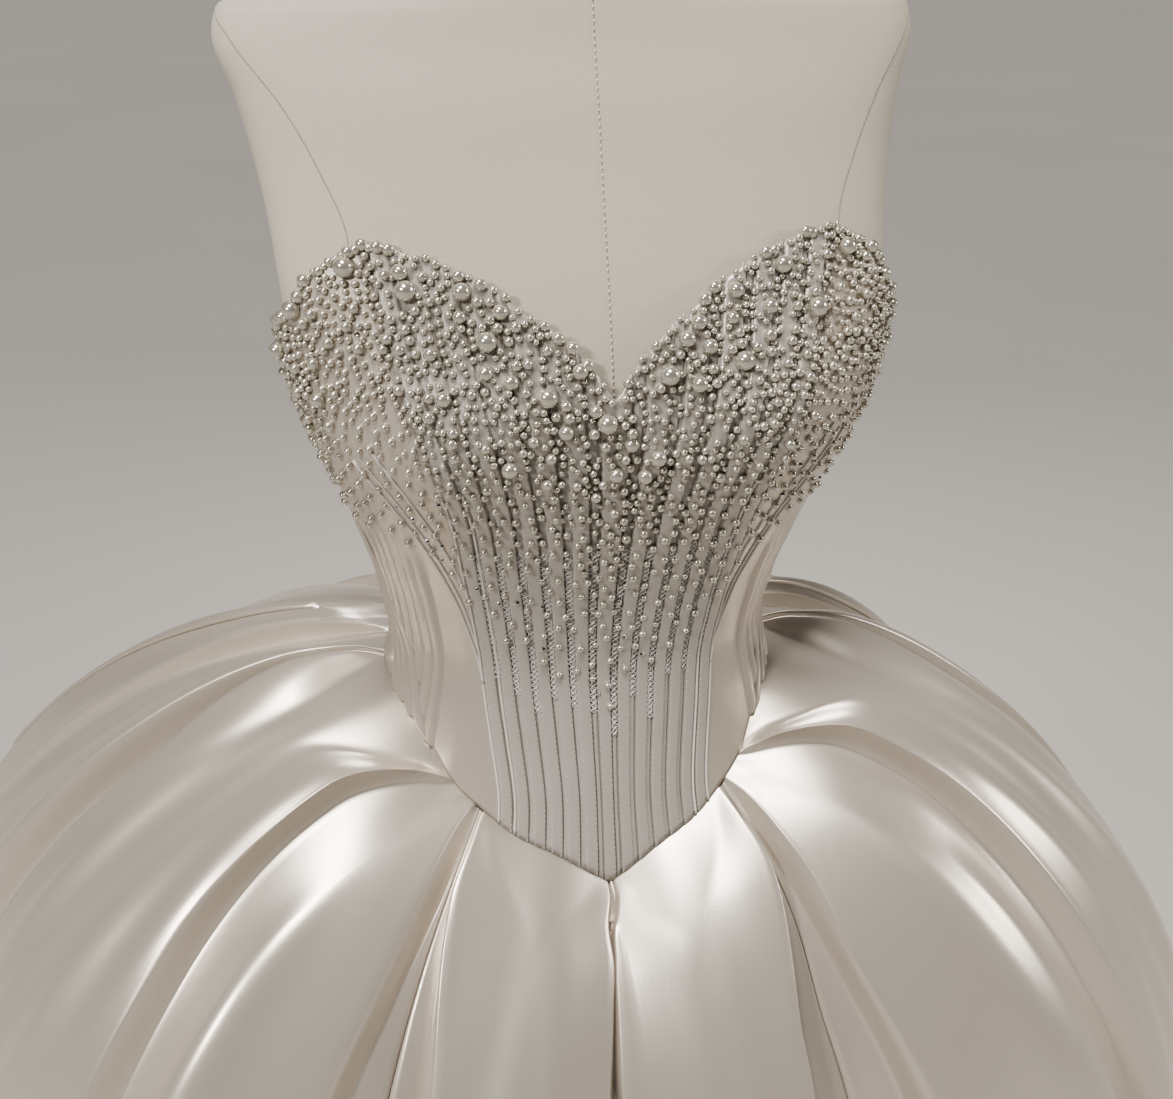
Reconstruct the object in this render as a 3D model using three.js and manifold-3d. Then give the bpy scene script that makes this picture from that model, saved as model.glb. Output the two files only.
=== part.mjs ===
// Strapless ball gown on a limbless dress form.
// Millimetres, +Z up. The gown faces -Y, the floor is z = 0 and the form's axis is x = y = 0.
// Angles go round that axis in degrees from the front centre, positive towards +X.
// L and R are the viewer's left and right from the front.
import * as THREE from 'three';
import Module from 'manifold-3d';
import { mergeVertices } from 'three/addons/utils/BufferGeometryUtils.js';

const wasm = await Module();
wasm.setup();

const { clamp, degToRad, lerp, radToDeg, smoothstep } = THREE.MathUtils;

// Cloth
const WALL = 2; // thickness of the satin with its backing
const SEAM_GAP = 0.3; // clear gap between pieces that are sewn to each other
const WAIST_GAP = 0.5; // the same along the pointed waist seam, where both edges slope
const STEEPEST_WALL = 2; // a wall on a fold's steep side is at most this many times as deep

// Bodice on the form
const WAIST_Z = 1040; // the narrowest level, where the gown grips the form
const WAIST_EASE = 0.8; // clear space between form and cloth at the waist
const BODY_EASE = 3; // the same away from the waist
const EASE_REACH = 40; // height over which one grows into the other
const LOW_ROWS = 3; // wall sections from the waist seam to the waist
const HIGH_ROWS = 9; // wall sections from the waist to the neckline
const LINE_PASSES = 16; // passes that settle where a seam line meets a row
const SIDE_BACK_ANGLE = 128; // seam between the side and back panels

// Boned tapes of the centre panel
const TAPE_COUNT = 13;
const TAPE_SHARE = 0.7; // width of a tape as a share of its pitch
const TAPE_BEVEL = 0.08; // sloping edge of a tape as a share of its pitch
const TAPE_RISE = 1.2;

// Corded ridges of the side panels
const CORD_COUNT = 4;
const CORD_PITCH = 4.2; // degrees
const CORD_RISE = 2.4;
const CORD_SECTION = [{ share: 0, rise: 0 }, { share: 0.3, rise: 1 }, { share: 0.7, rise: 1 }];

// Concealed zip at the centre back
const ZIP_HALF = 4; // half the width that shows
const SLIDER = { width: 5, depth: 4, height: 11, belowEdge: 14 };

// Pearls
const PEARL_SUNK = 0.3; // share of a pearl's diameter that lies in the cloth

// Skirt
const HEM_Z = 4; // hem above the floor
const SKIRT_INSET = 1; // waist edge of the skirt outside the bodice's inner face
const HEM_BLEND = 1.5; // level from which folds turn level towards the hem
const BOX_SIDE = 12; // widest sloping side of a box pleat
const KNIFE_DROP = { least: 2, share: 0.45 }; // width of a knife pleat's drop, from its height
const KNIFE_TAIL = 1.6; // length of a knife pleat's rear slope, in lengths of fade
const PLEAT_DOWN = { near: 60, mid: 170, low: 500 }; // where the angles of a pleat's path are given

// Dress form
const FORM_SIDES = 36;
const FORM_BOTTOM = 790;
const FORM_TOP = 1475;
const NECK_CAP = { radius: 46, height: 14, round: 4 };
const POLE_RADIUS = 16;
const BASE = { radius: 215, height: 16, round: 5 };
const ROUND_SIDES = 24;
const ROUND_STEPS = 2; // steps in a quarter of a disc's rounded edge, in pairs

// Rows of named columns.
function table(names, rows) {
  const keys = names.split(' ');
  return rows.map((row) => Object.fromEntries(keys.map((key, i) => [key, row[i]])));
}

// Smooth curve through two columns of a table, which never overshoots their points.
function curve(rows, from, to) {
  const xs = rows.map((row) => row[from]);
  const ys = rows.map((row) => row[to]);
  const last = xs.length - 1;
  const step = xs.slice(1).map((x, i) => x - xs[i]);
  const rise = ys.slice(1).map((y, i) => (y - ys[i]) / step[i]);
  const slope = ys.map((_, i) => {
    if (i === 0) return rise[0];
    if (i === last) return rise[last - 1];
    if (rise[i - 1] * rise[i] <= 0) return 0;
    const before = (2 * step[i] + step[i - 1]) / rise[i - 1];
    const after = (step[i] + 2 * step[i - 1]) / rise[i];
    return (3 * (step[i - 1] + step[i])) / (before + after);
  });
  return (x) => {
    const at = clamp(x, xs[0], xs[last]);
    let i = 0;
    while (i < last - 1 && at > xs[i + 1]) i += 1;
    const q = (at - xs[i]) / step[i];
    const p = 1 - q;
    const ends = ys[i] * (1 + 2 * q) * p * p + ys[i + 1] * (3 - 2 * q) * q * q;
    return ends + step[i] * q * p * (slope[i] * p - slope[i + 1] * q);
  };
}

// Level sections of the dress form: half its width, its front and back, where it is widest,
// and how square the section is (1 is an ellipse).
const FIGURE = table('z half front back mid square', [
  [780, 150, -100, 112, 5, 1],
  [850, 162, -110, 118, 5, 1],
  [910, 148, -109, 108, 0, 1],
  [960, 130, -100, 95, 0, 1],
  [1005, 116, -91, 84, 0, 0.98],
  [1040, 111, -87, 80, -2, 0.96],
  [1073, 113, -89, 82, -10, 0.94],
  [1100, 119, -95, 84, -22, 0.92],
  [1125, 127, -102, 86, -35, 0.9],
  [1150, 136, -108, 88, -46, 0.88],
  [1175, 145, -112, 90, -54, 0.86],
  [1200, 153, -113, 92, -57, 0.85],
  [1230, 159, -108, 94, -54, 0.84],
  [1260, 163, -100, 95, -46, 0.83],
  [1290, 166, -90, 95, -34, 0.82],
  [1320, 171, -80, 92, -22, 0.82],
  [1350, 178, -71, 87, -12, 0.83],
  [1378, 187, -61, 80, 0, 0.86],
  [1392, 184, -57, 74, 3, 0.9],
  [1403, 156, -54, 69, 5, 0.94],
  [1415, 118, -52, 63, 5, 0.98],
  [1430, 84, -51, 58, 3, 1],
  [1445, 66, -50, 54, 1, 1],
  [1475, 57, -50, 52, 0, 1],
]);
const WAIST_RINGS = [1022, 1056]; // more sections where the gown grips

// The bust: two soft mounds on the front.
const BUST = { x: 82, z: 1192, reach: 42, rise: 11, side: 0.3 };

// Heights of the gown's edges by angle, the same on both sides.
const WAIST_SEAM = table('angle z', [
  [0, 911], [12, 930], [22, 941], [32, 955], [41, 968], [50, 985],
  [60, 999], [70, 1008], [93, 1014], [130, 1008], [180, 1000],
]);
const NECKLINE = table('angle z', [
  [0, 1210], [2.5, 1226], [5, 1237], [10, 1251], [17, 1267], [25, 1278], [32, 1284], [41, 1287],
  [48.5, 1281], [59.5, 1269], [68.5, 1254], [90, 1240], [120, 1226], [180, 1220],
]);

// Seam lines of the bodice: angle by height.
const PRINCESS = table('z angle', [
  [908, 26], [955, 27], [1000, 31.5], [1040, 35.5], [1094, 36.5], [1146, 35], [1185, 36], [1230, 38.5],
  [1290, 41],
]);
const SIDE_FRONT = table('z angle', [
  [985, 50], [1005, 55], [1040, 63], [1075, 74], [1110, 86], [1150, 98], [1200, 104], [1260, 108],
]);

// The largest pearls, by their place on the front.
const PEARLS = table('x z size', [
  [-156, 1254, 8], [-129, 1277, 9], [-100, 1267, 9], [-74, 1266, 8], [-56, 1256, 7], [-63, 1243, 9],
  [-86, 1217, 7], [-53, 1223, 7], [-35, 1214, 9], [-18, 1226, 7], [-5, 1199, 9], [-26, 1196, 7],
  [8, 1186, 7], [0, 1170, 7], [15, 1168, 7], [27, 1222, 9], [48, 1235, 7], [66, 1227, 9],
  [43, 1247, 7], [63, 1261, 7], [90, 1271, 8], [81, 1252, 7], [107, 1249, 9], [128, 1276, 8],
]);

// The skirt's dome by angle: radius of its upper curve, and how steep that starts and ends.
// Its fullness swings to the back left.
const DOME = table('angle radius top bottom', [
  [-180, 540, 9, 73], [-150, 600, 8, 73.5], [-120, 445, 5, 74], [-90, 385, 9, 75], [-70, 366, 10, 74.5],
  [-45, 360, 16, 73], [-25, 368, 30, 72], [0, 390, 40, 70], [25, 368, 30, 72], [45, 360, 16, 73],
  [70, 380, 12, 74.5], [90, 420, 14, 75], [120, 400, 14, 74], [150, 510, 9, 73.5], [180, 540, 9, 73],
]);

// Pleats, from the back round by the left and the front. Angle at the waist seam, then further down.
// A box pleat opens over a sunken floor. A knife pleat is a ridge that drops towards the front.
// Mouth scales the opening, depth and lip are millimetres, and peak is where the broad swell
// before the next pleat is highest. The panels are sewn together in the sewn ones.
const PLEATS = table('at near mid low kind mouth depth lip peak sewn', [
  [-180, -180, -180, -180, 'box', 1.1, 34, 8, 0.5, true],
  [-158, -159, -160, -160, 'knife', 1, 6, 10, 0.5, false],
  [-137, -137, -137, -137, 'box', 1, 32, 8, 0.5, true],
  [-114, -116, -118, -118, 'knife', 1, 6, 9, 0.5, false],
  [-92, -92, -90, -88, 'box', 1.15, 22, 16, 0.45, true],
  [-41.5, -51.5, -55, -54, 'knife', 1, 7, 20, 0.42, false],
  [-32.5, -31.5, -30.5, -29, 'box', 1, 30, 4, 0.62, true],
  [0, -1.5, -2, -1, 'box', 0.5, 24, 3, 0.38, false],
  [32.5, 30.5, 26.5, 25, 'box', 1, 30, 4, 0.58, true],
  [41, 51.5, 55, 54, 'knife', 1, 7, 20, 0.55, false],
  [91, 90, 87, 86, 'box', 1.15, 22, 16, 0.5, true],
  [114, 116, 118, 118, 'knife', 1, 6, 9, 0.5, false],
  [137, 137, 137, 137, 'box', 1, 32, 8, 0.5, true],
  [158, 159, 160, 160, 'knife', 1, 6, 10, 0.5, false],
  [180, 180, 180, 180, 'box', 1.1, 34, 8, 0.5, true],
]);
const SKIRT_NAMES = [
  'skirt_back_L', 'skirt_side_back_L', 'skirt_side_L', 'skirt_front',
  'skirt_side_R', 'skirt_side_back_R', 'skirt_back_R',
];

// How a pleat grows with the length down from the waist seam: half its mouth, its depth and its
// lip as shares, how far its lip fades, and the height of the broad swell between pleats.
const GROWTH = table('down mouth depth lip fade swell', [
  [0, 3, 0.06, 0, 5, 0],
  [20, 6, 0.2, 0.35, 12, 1],
  [65, 13.5, 0.38, 1, 34, 4],
  [170, 30, 0.6, 0.75, 48, 9],
  [500, 56, 1, 0.4, 70, 15],
  [1200, 75, 1.15, 0.3, 90, 20],
]);

// Levels down the skirt: 0 to 1 along the curve, then 1 to 2 along the straight fall to the hem.
const SKIRT_LEVELS = [0, 0.045, 0.11, 0.2, 0.33, 0.49, 0.66, 0.83, 1, 1.45, 2];
const FILL_LINES = 3; // lines between two pleats
const WIDE_PANEL = 30; // degrees between pleats from which one more line is needed

const satin = { color: 0xd8cfc3, roughness: 0.36, metalness: 0 };
const bonedSatin = { color: 0xcfc7bc, roughness: 0.42, metalness: 0 };
const zipSatin = { color: 0xd2c9bd, roughness: 0.5, metalness: 0 };
const formLinen = { color: 0xcdc5b6, roughness: 0.85, metalness: 0 };
const formMetal = { color: 0xb9b7b2, roughness: 0.35, metalness: 0.9 };
const formWood = { color: 0x8a6a4a, roughness: 0.55, metalness: 0 };

const figure = {};
for (const name of ['half', 'front', 'back', 'mid', 'square']) figure[name] = curve(FIGURE, 'z', name);
const dome = {};
for (const name of ['radius', 'top', 'bottom']) dome[name] = curve(DOME, 'angle', name);
const growth = {};
for (const name of ['mouth', 'depth', 'lip', 'fade', 'swell']) growth[name] = curve(GROWTH, 'down', name);
const waistSeam = curve(WAIST_SEAM, 'angle', 'z');
const neckline = curve(NECKLINE, 'angle', 'z');
const princess = curve(PRINCESS, 'z', 'angle');
const sideFront = curve(SIDE_FRONT, 'z', 'angle');

const gown = new THREE.Group();

function addPiece(name, geometry, finish) {
  geometry.computeVertexNormals();
  const mesh = new THREE.Mesh(geometry, new THREE.MeshStandardMaterial(finish));
  mesh.name = name;
  gown.add(mesh);
  return mesh;
}

function indexed(points, faces) {
  const geometry = new THREE.BufferGeometry();
  geometry.setAttribute('position', new THREE.Float32BufferAttribute(points.flatMap((p) => p.toArray()), 3));
  geometry.setIndex(faces.flat());
  return geometry;
}

function signedVolume(points, faces) {
  const cross = new THREE.Vector3();
  return faces.reduce((sum, [a, b, c]) => sum + points[a].dot(cross.crossVectors(points[b], points[c])), 0);
}

// Closed wall between two grids of points, rows by lines, facing out. Kept lists the outer
// lines that the inner grid has points behind.
function wall(outer, inner, kept) {
  const rows = outer.length;
  const lines = outer[0].length;
  const last = kept.length - 1;
  const points = [...outer.flat(), ...inner.flat()];
  const out = (i, j) => i * lines + j;
  const back = (i, k) => rows * lines + i * kept.length + k;
  const faces = [];
  const quad = (a, b, c, d) => faces.push([a, b, c], [a, c, d]);
  for (let i = 0; i < rows - 1; i += 1) {
    for (let j = 0; j < lines - 1; j += 1) quad(out(i, j), out(i, j + 1), out(i + 1, j + 1), out(i + 1, j));
    for (let k = 0; k < last; k += 1) quad(back(i, k), back(i + 1, k), back(i + 1, k + 1), back(i, k + 1));
    quad(out(i, 0), out(i + 1, 0), back(i + 1, 0), back(i, 0));
    quad(out(i + 1, lines - 1), out(i, lines - 1), back(i, last), back(i + 1, last));
  }
  const top = rows - 1;
  for (let k = 0; k < last; k += 1) {
    for (let j = kept[k]; j < kept[k + 1]; j += 1) {
      faces.push([out(0, j + 1), out(0, j), back(0, k)], [out(top, j), out(top, j + 1), back(top, k)]);
    }
    faces.push([out(0, kept[k + 1]), back(0, k), back(0, k + 1)]);
    faces.push([out(top, kept[k + 1]), back(top, k + 1), back(top, k)]);
  }
  if (signedVolume(points, faces) < 0) faces.forEach((face) => face.reverse());
  return indexed(points, faces);
}

// Closed solid through rings of points, with a flat fan at both ends.
function loft(rings) {
  const sides = rings[0].length;
  const points = rings.flat();
  const faces = [];
  for (let i = 0; i < rings.length - 1; i += 1) {
    for (let j = 0; j < sides; j += 1) {
      const a = i * sides + j;
      const b = i * sides + ((j + 1) % sides);
      faces.push([a, b, b + sides], [a, b + sides, a + sides]);
    }
  }
  for (const ring of [0, rings.length - 1]) {
    const centre = new THREE.Vector3();
    rings[ring].forEach((p) => centre.addScaledVector(p, 1 / sides));
    points.push(centre);
    for (let j = 0; j < sides; j += 1) {
      const a = ring * sides + j;
      const b = ring * sides + ((j + 1) % sides);
      faces.push(ring === 0 ? [points.length - 1, b, a] : [points.length - 1, a, b]);
    }
  }
  if (signedVolume(points, faces) < 0) faces.forEach((face) => face.reverse());
  return indexed(points, faces);
}

function solid(geometry) {
  const vertProperties = new Float32Array(geometry.attributes.position.array);
  const triVerts = new Uint32Array(geometry.index.array);
  return new wasm.Manifold(new wasm.Mesh({ numProp: 3, vertProperties, triVerts }));
}

// One body from a wall and what is sewn on it.
function fused(geometry, extras) {
  let body = solid(geometry);
  for (const extra of extras) body = body.add(solid(extra));
  const mesh = body.getMesh();
  const result = new THREE.BufferGeometry();
  result.setAttribute('position', new THREE.BufferAttribute(new Float32Array(mesh.vertProperties), 3));
  result.setIndex(new THREE.BufferAttribute(new Uint32Array(mesh.triVerts), 1));
  return result;
}

const signedPower = (value, power) => Math.sign(value) * Math.abs(value) ** power;

function bustRise(x, z, forward) {
  const across = (Math.abs(x) - BUST.x) / BUST.reach;
  const up = (z - BUST.z) / BUST.reach;
  return BUST.rise * Math.exp(-across * across - up * up) * clamp(forward / BUST.side, 0, 1);
}

// Point on the form's surface, moved out level.
function figurePoint(angle, z, out) {
  const turn = degToRad(angle);
  const mid = figure.mid(z);
  const across = signedPower(Math.sin(turn), figure.square(z));
  const forward = signedPower(Math.cos(turn), figure.square(z));
  const depth = forward >= 0 ? mid - figure.front(z) : figure.back(z) - mid;
  const x = (figure.half(z) + out) * across;
  const y = mid - (depth + out) * forward;
  return new THREE.Vector3(x, y - bustRise(x, z, forward), z);
}

const ease = (z) => lerp(WAIST_EASE, BODY_EASE, smoothstep(Math.abs(z - WAIST_Z), 0, EASE_REACH));

// Dress form

function buildForm() {
  const between = FIGURE.map((row) => row.z).filter((z) => z > FORM_BOTTOM && z < FORM_TOP);
  const heights = [FORM_BOTTOM, ...between, ...WAIST_RINGS, FORM_TOP].sort((a, b) => a - b);
  const angles = Array.from({ length: FORM_SIDES }, (_, i) => (360 / FORM_SIDES) * i);
  const rings = heights.map((z) => angles.map((angle) => figurePoint(angle, z, 0)));
  addPiece('form_torso', loft(rings), formLinen);
  addPiece('form_neck_cap', roundedDisc(NECK_CAP, FORM_TOP + SEAM_GAP), formWood);
  addPiece('form_base', roundedDisc(BASE, 0), formMetal);
  const poleHeight = FORM_BOTTOM - BASE.height - 2 * SEAM_GAP;
  const pole = new THREE.CylinderGeometry(POLE_RADIUS, POLE_RADIUS, poleHeight, ROUND_SIDES);
  pole.rotateX(Math.PI / 2);
  const mesh = addPiece('form_pole', pole, formMetal);
  mesh.position.z = BASE.height + SEAM_GAP + poleHeight / 2;
}

// Flat disc with a rounded upper edge, standing on the given level.
function roundedDisc(size, bottom) {
  const rim = new THREE.Path();
  rim.moveTo(0, 0);
  rim.lineTo(size.radius, 0);
  rim.lineTo(size.radius, size.height - size.round);
  rim.absarc(size.radius - size.round, size.height - size.round, size.round, 0, Math.PI / 2, false);
  rim.lineTo(0, size.height);
  const geometry = new THREE.LatheGeometry(rim.getPoints(ROUND_STEPS), ROUND_SIDES);
  geometry.rotateX(Math.PI / 2);
  geometry.translate(0, 0, bottom);
  return geometry;
}

// Bodice

const ROWS = [
  ...Array.from({ length: LOW_ROWS }, (_, i) => ({ below: true, share: i / LOW_ROWS })),
  ...Array.from({ length: HIGH_ROWS + 1 }, (_, i) => ({ below: false, share: i / HIGH_ROWS })),
];

// Where a panel's line, an angle that changes with height, meets a row. Each pass brings the
// two closer.
function placeOnLine(line, row) {
  let z = WAIST_Z;
  let angle = line.angle(z);
  for (let pass = 0; pass < LINE_PASSES; pass += 1) {
    const side = Math.abs(angle);
    z = row.below
      ? lerp(waistSeam(side) + WAIST_GAP / 2, WAIST_Z, row.share)
      : lerp(WAIST_Z, neckline(side), row.share);
    angle = line.angle(z);
  }
  const { x, y } = figurePoint(angle, z, 0);
  const radius = Math.hypot(x, y);
  return { angle: angle + radToDeg((line.shift ?? 0) / radius), z };
}

// Wall through a panel's lines, raised outside by each line's rise. Only the inside lines go on
// behind it, so that face stays plain. The first and last lines stop half a seam gap short. A
// side of -1 mirrors the panel.
function bodicePanel(lines, side) {
  lines[0].shift = SEAM_GAP / 2;
  lines[lines.length - 1].shift = -SEAM_GAP / 2;
  const mirror = new THREE.Vector3(side, 1, 1);
  const kept = [...lines.keys()].filter((j) => lines[j].inside);
  const grid = (chosen, rise) => ROWS.map((row) => chosen.map((line) => {
    const { angle, z } = placeOnLine(line, row);
    return figurePoint(angle, z, ease(z) + rise(line)).multiply(mirror);
  }));
  return wall(grid(lines, (line) => WALL + line.rise), grid(kept.map((j) => lines[j]), () => 0), kept);
}

// Lines at even shares between two seam lines.
function evenLines(from, to, count) {
  return Array.from({ length: count + 1 }, (_, i) => ({
    angle: (z) => lerp(from(z), to(z), i / count),
    rise: 0,
    inside: true,
  }));
}

function pearlAngle(x, z) {
  const reach = figure.half(z) + ease(z) + WALL;
  return radToDeg(Math.asin(signedPower(x / reach, 1 / figure.square(z))));
}

// Pearls whose place passes a test, each partly sunk in the cloth.
function pearls(test, rise) {
  const chosen = PEARLS.filter(({ x, z }) => test(pearlAngle(x, z), z));
  return chosen.map(({ x, z, size }) => {
    const out = ease(z) + WALL + rise + size * (0.5 - PEARL_SUNK);
    const centre = figurePoint(pearlAngle(x, z), z, out);
    const ball = new THREE.OctahedronGeometry(size / 2, 1);
    return welded(ball.translate(centre.x, centre.y, centre.z));
  });
}

// Shared corners of a geometry class become one point each.
function welded(geometry) {
  geometry.deleteAttribute('normal');
  geometry.deleteAttribute('uv');
  return mergeVertices(geometry);
}

function tapeLines() {
  const pitch = 1 / TAPE_COUNT;
  const margin = (1 - TAPE_SHARE) / 2;
  const lines = [];
  const add = (share, rise, inside) => lines.push({
    angle: (z) => lerp(-princess(z), princess(z), share), rise, inside,
  });
  add(0, 0, true);
  for (let k = 0; k < TAPE_COUNT; k += 1) {
    const start = (k + margin) * pitch;
    const end = (k + 1 - margin) * pitch;
    add(start, 0, true);
    add(start + TAPE_BEVEL * pitch, TAPE_RISE, false);
    if (2 * k + 1 === TAPE_COUNT) add(0.5, TAPE_RISE, true);
    add(end - TAPE_BEVEL * pitch, TAPE_RISE, false);
    add(end, 0, false);
  }
  add(1, 0, true);
  return lines;
}

function cordLines() {
  const cords = [];
  for (let k = 0; k < CORD_COUNT; k += 1) {
    for (const { share, rise } of CORD_SECTION) {
      const angle = (z) => sideFront(z) + (k + share) * CORD_PITCH;
      cords.push({ angle, rise: rise * CORD_RISE, inside: rise === 0 });
    }
  }
  const plainFrom = (z) => sideFront(z) + CORD_COUNT * CORD_PITCH;
  return [...cords, ...evenLines(plainFrom, () => SIDE_BACK_ANGLE, 6)];
}

// Half the zip's width as an angle at the back.
const zipAngle = (z) => radToDeg(ZIP_HALF / figure.back(z));

function buildZip() {
  const strip = bodicePanel(evenLines((z) => 180 - zipAngle(z), (z) => 180 + zipAngle(z), 2), 1);
  const z = neckline(180) - SLIDER.belowEdge;
  const slider = new THREE.BoxGeometry(SLIDER.width, SLIDER.depth, SLIDER.height);
  const back = figurePoint(180, z, ease(z) + WALL);
  slider.translate(0, back.y + SLIDER.depth / 4, z);
  addPiece('back_zip', fused(strip, [welded(slider)]), zipSatin);
}

function buildBodice() {
  const onFront = (angle, z) => Math.abs(angle) < princess(z);
  addPiece('bodice_front', fused(bodicePanel(tapeLines(), 1), pearls(onFront, TAPE_RISE)), bonedSatin);
  for (const { letter, side } of [{ letter: 'L', side: -1 }, { letter: 'R', side: 1 }]) {
    const onSideFront = (angle, z) => angle * side > princess(z);
    const plain = bodicePanel(evenLines(princess, sideFront, 6), side);
    addPiece(`bodice_side_front_${letter}`, fused(plain, pearls(onSideFront, 0)), satin);
    addPiece(`bodice_side_${letter}`, bodicePanel(cordLines(), side), satin);
    const back = evenLines(() => SIDE_BACK_ANGLE, (z) => 180 - zipAngle(z), 6);
    addPiece(`bodice_back_${letter}`, bodicePanel(back, side), satin);
  }
  buildZip();
}

// Skirt

// The plain dome's profile in one direction.
function profile(angle) {
  const side = Math.abs(angle);
  const z = waistSeam(side) - WAIST_GAP / 2;
  const start = figurePoint(angle, z, ease(z) + SKIRT_INSET);
  const radius = dome.radius(angle);
  const top = degToRad(dome.top(angle));
  const bottom = degToRad(dome.bottom(angle));
  const curved = radius * (bottom - top);
  const drop = radius * (Math.cos(top) - Math.cos(bottom));
  const straight = (z - drop - HEM_Z) / Math.sin(bottom);
  return {
    z, radius, top, bottom, curved, drop, straight,
    waist: Math.hypot(start.x, start.y),
    heading: Math.atan2(start.x, -start.y),
  };
}

// Length down the profile at a level, and the dome's reach and fall there.
function domeAt(shape, level) {
  const down = Math.min(level, 1) * shape.curved + Math.max(level - 1, 0) * shape.straight;
  const steep = shape.top + Math.min(level, 1) * (shape.bottom - shape.top);
  const fall = Math.max(level - 1, 0) * shape.straight;
  const reach = shape.waist + shape.radius * (Math.sin(steep) - Math.sin(shape.top)) + fall * Math.cos(steep);
  const z = shape.z - shape.radius * (Math.cos(shape.top) - Math.cos(steep)) - fall * Math.sin(steep);
  return { down, steep, reach, z };
}

// Point of the skirt: on the dome, lifted outwards. Towards the hem the lift turns level.
function skirtPoint(angle, level, lift) {
  const shape = profile(angle);
  const { steep, reach, z } = domeAt(shape, level);
  const lean = lerp(steep, Math.PI / 2, smoothstep(level, HEM_BLEND, 2));
  const r = reach + lift * Math.sin(lean);
  const x = r * Math.sin(shape.heading);
  const y = -r * Math.cos(shape.heading);
  return new THREE.Vector3(x, y, z + lift * Math.cos(lean));
}

// A pleat's size and place at a level. Lines are the offsets, in millimetres round the skirt,
// that its section needs.
function foldAt(pleat, level) {
  const { down } = domeAt(profile(pleat.at), level);
  const path = table('down angle', [
    [0, pleat.at],
    [PLEAT_DOWN.near, pleat.near],
    [PLEAT_DOWN.mid, pleat.mid],
    [PLEAT_DOWN.low, pleat.low],
  ]);
  const centre = curve(path, 'down', 'angle')(down);
  const { reach } = domeAt(profile(centre), level);
  const mouth = growth.mouth(down) * pleat.mouth;
  const depth = growth.depth(down) * pleat.depth;
  const lip = growth.lip(down) * pleat.lip;
  const fade = growth.fade(down);
  const fold = { centre, mouth, depth, lip, fade, peak: pleat.peak, degrees: radToDeg(1 / reach) };
  if (pleat.kind === 'box') {
    fold.floor = mouth - Math.min(mouth / 2, BOX_SIDE);
    fold.lines = [-mouth - fade / 2, -mouth, -fold.floor, 0, fold.floor, mouth, mouth + fade / 2];
    fold.liftAt = (offset) => boxLift(fold, Math.abs(offset));
  } else {
    const side = Math.sign(pleat.at);
    fold.drop = KNIFE_DROP.least + KNIFE_DROP.share * (lip + depth);
    const section = [-fold.drop - fade / 2, -fold.drop, 0, fade / 2, fade];
    fold.lines = side > 0 ? section : section.map((offset) => -offset).reverse();
    fold.liftAt = (offset) => knifeLift(fold, offset * side);
  }
  return fold;
}

function boxLift(fold, offset) {
  if (offset <= fold.mouth) return lerp(-fold.depth, fold.lip, smoothstep(offset, fold.floor, fold.mouth));
  return fold.lip * (1 - smoothstep(offset, fold.mouth, fold.mouth + fold.fade));
}

function knifeLift(fold, offset) {
  if (offset >= 0) return fold.lip * (1 - smoothstep(offset, 0, fold.fade * KNIFE_TAIL));
  if (offset >= -fold.drop) return lerp(fold.lip, -fold.depth, smoothstep(-offset, 0, fold.drop));
  return -fold.depth * (1 - smoothstep(-offset, fold.drop, fold.drop + fold.fade));
}

const foldEdge = (fold, i) => fold.centre + fold.lines.at(i) * fold.degrees;

// Height of the skirt's cloth over the plain dome: its pleats, and the broad swells between them.
function skirtLift(folds, angle, level) {
  let lift = 0;
  for (const fold of folds) lift += fold.liftAt((angle - fold.centre) / fold.degrees);
  const next = folds.findIndex((fold) => foldEdge(fold, 0) > angle);
  if (next > 0 && angle > foldEdge(folds[next - 1], -1)) {
    const from = foldEdge(folds[next - 1], -1);
    const share = (angle - from) / (foldEdge(folds[next], 0) - from);
    const bent = share ** (Math.log(0.5) / Math.log(folds[next - 1].peak));
    const { down } = domeAt(profile(angle), level);
    lift += growth.swell(down) * Math.sin(Math.PI * bent) ** 2;
  }
  return lift;
}

// Angles of a panel's lines at a level, from the middle of one sewn pleat to the next.
function panelAngles(folds, first, last) {
  const angles = [];
  for (let k = first; k <= last; k += 1) {
    const fold = folds[k];
    let offsets = fold.lines;
    if (k === first) offsets = [SEAM_GAP / 2, ...offsets.filter((offset) => offset > 0)];
    if (k === last) offsets = [...offsets.filter((offset) => offset < 0), -SEAM_GAP / 2];
    const own = offsets.map((offset) => fold.centre + offset * fold.degrees);
    if (k > first) {
      const wide = PLEATS[k].at - PLEATS[k - 1].at > WIDE_PANEL;
      const count = FILL_LINES + (wide ? 1 : 0);
      const from = angles.at(-1);
      for (let i = 1; i <= count; i += 1) angles.push(lerp(from, own[0], i / (count + 1)));
    }
    angles.push(...own);
  }
  return angles;
}

// How much deeper the wall is, straight in, where its outside is steep.
function steepness(points, lifts, j) {
  let steepest = 0;
  for (const i of [j - 1, j + 1]) {
    if (!points[i]) continue;
    const run = Math.hypot(points[i].x - points[j].x, points[i].y - points[j].y);
    steepest = Math.max(steepest, Math.abs(lifts[i] - lifts[j]) / run);
  }
  return Math.min(STEEPEST_WALL, Math.hypot(1, steepest));
}

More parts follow.
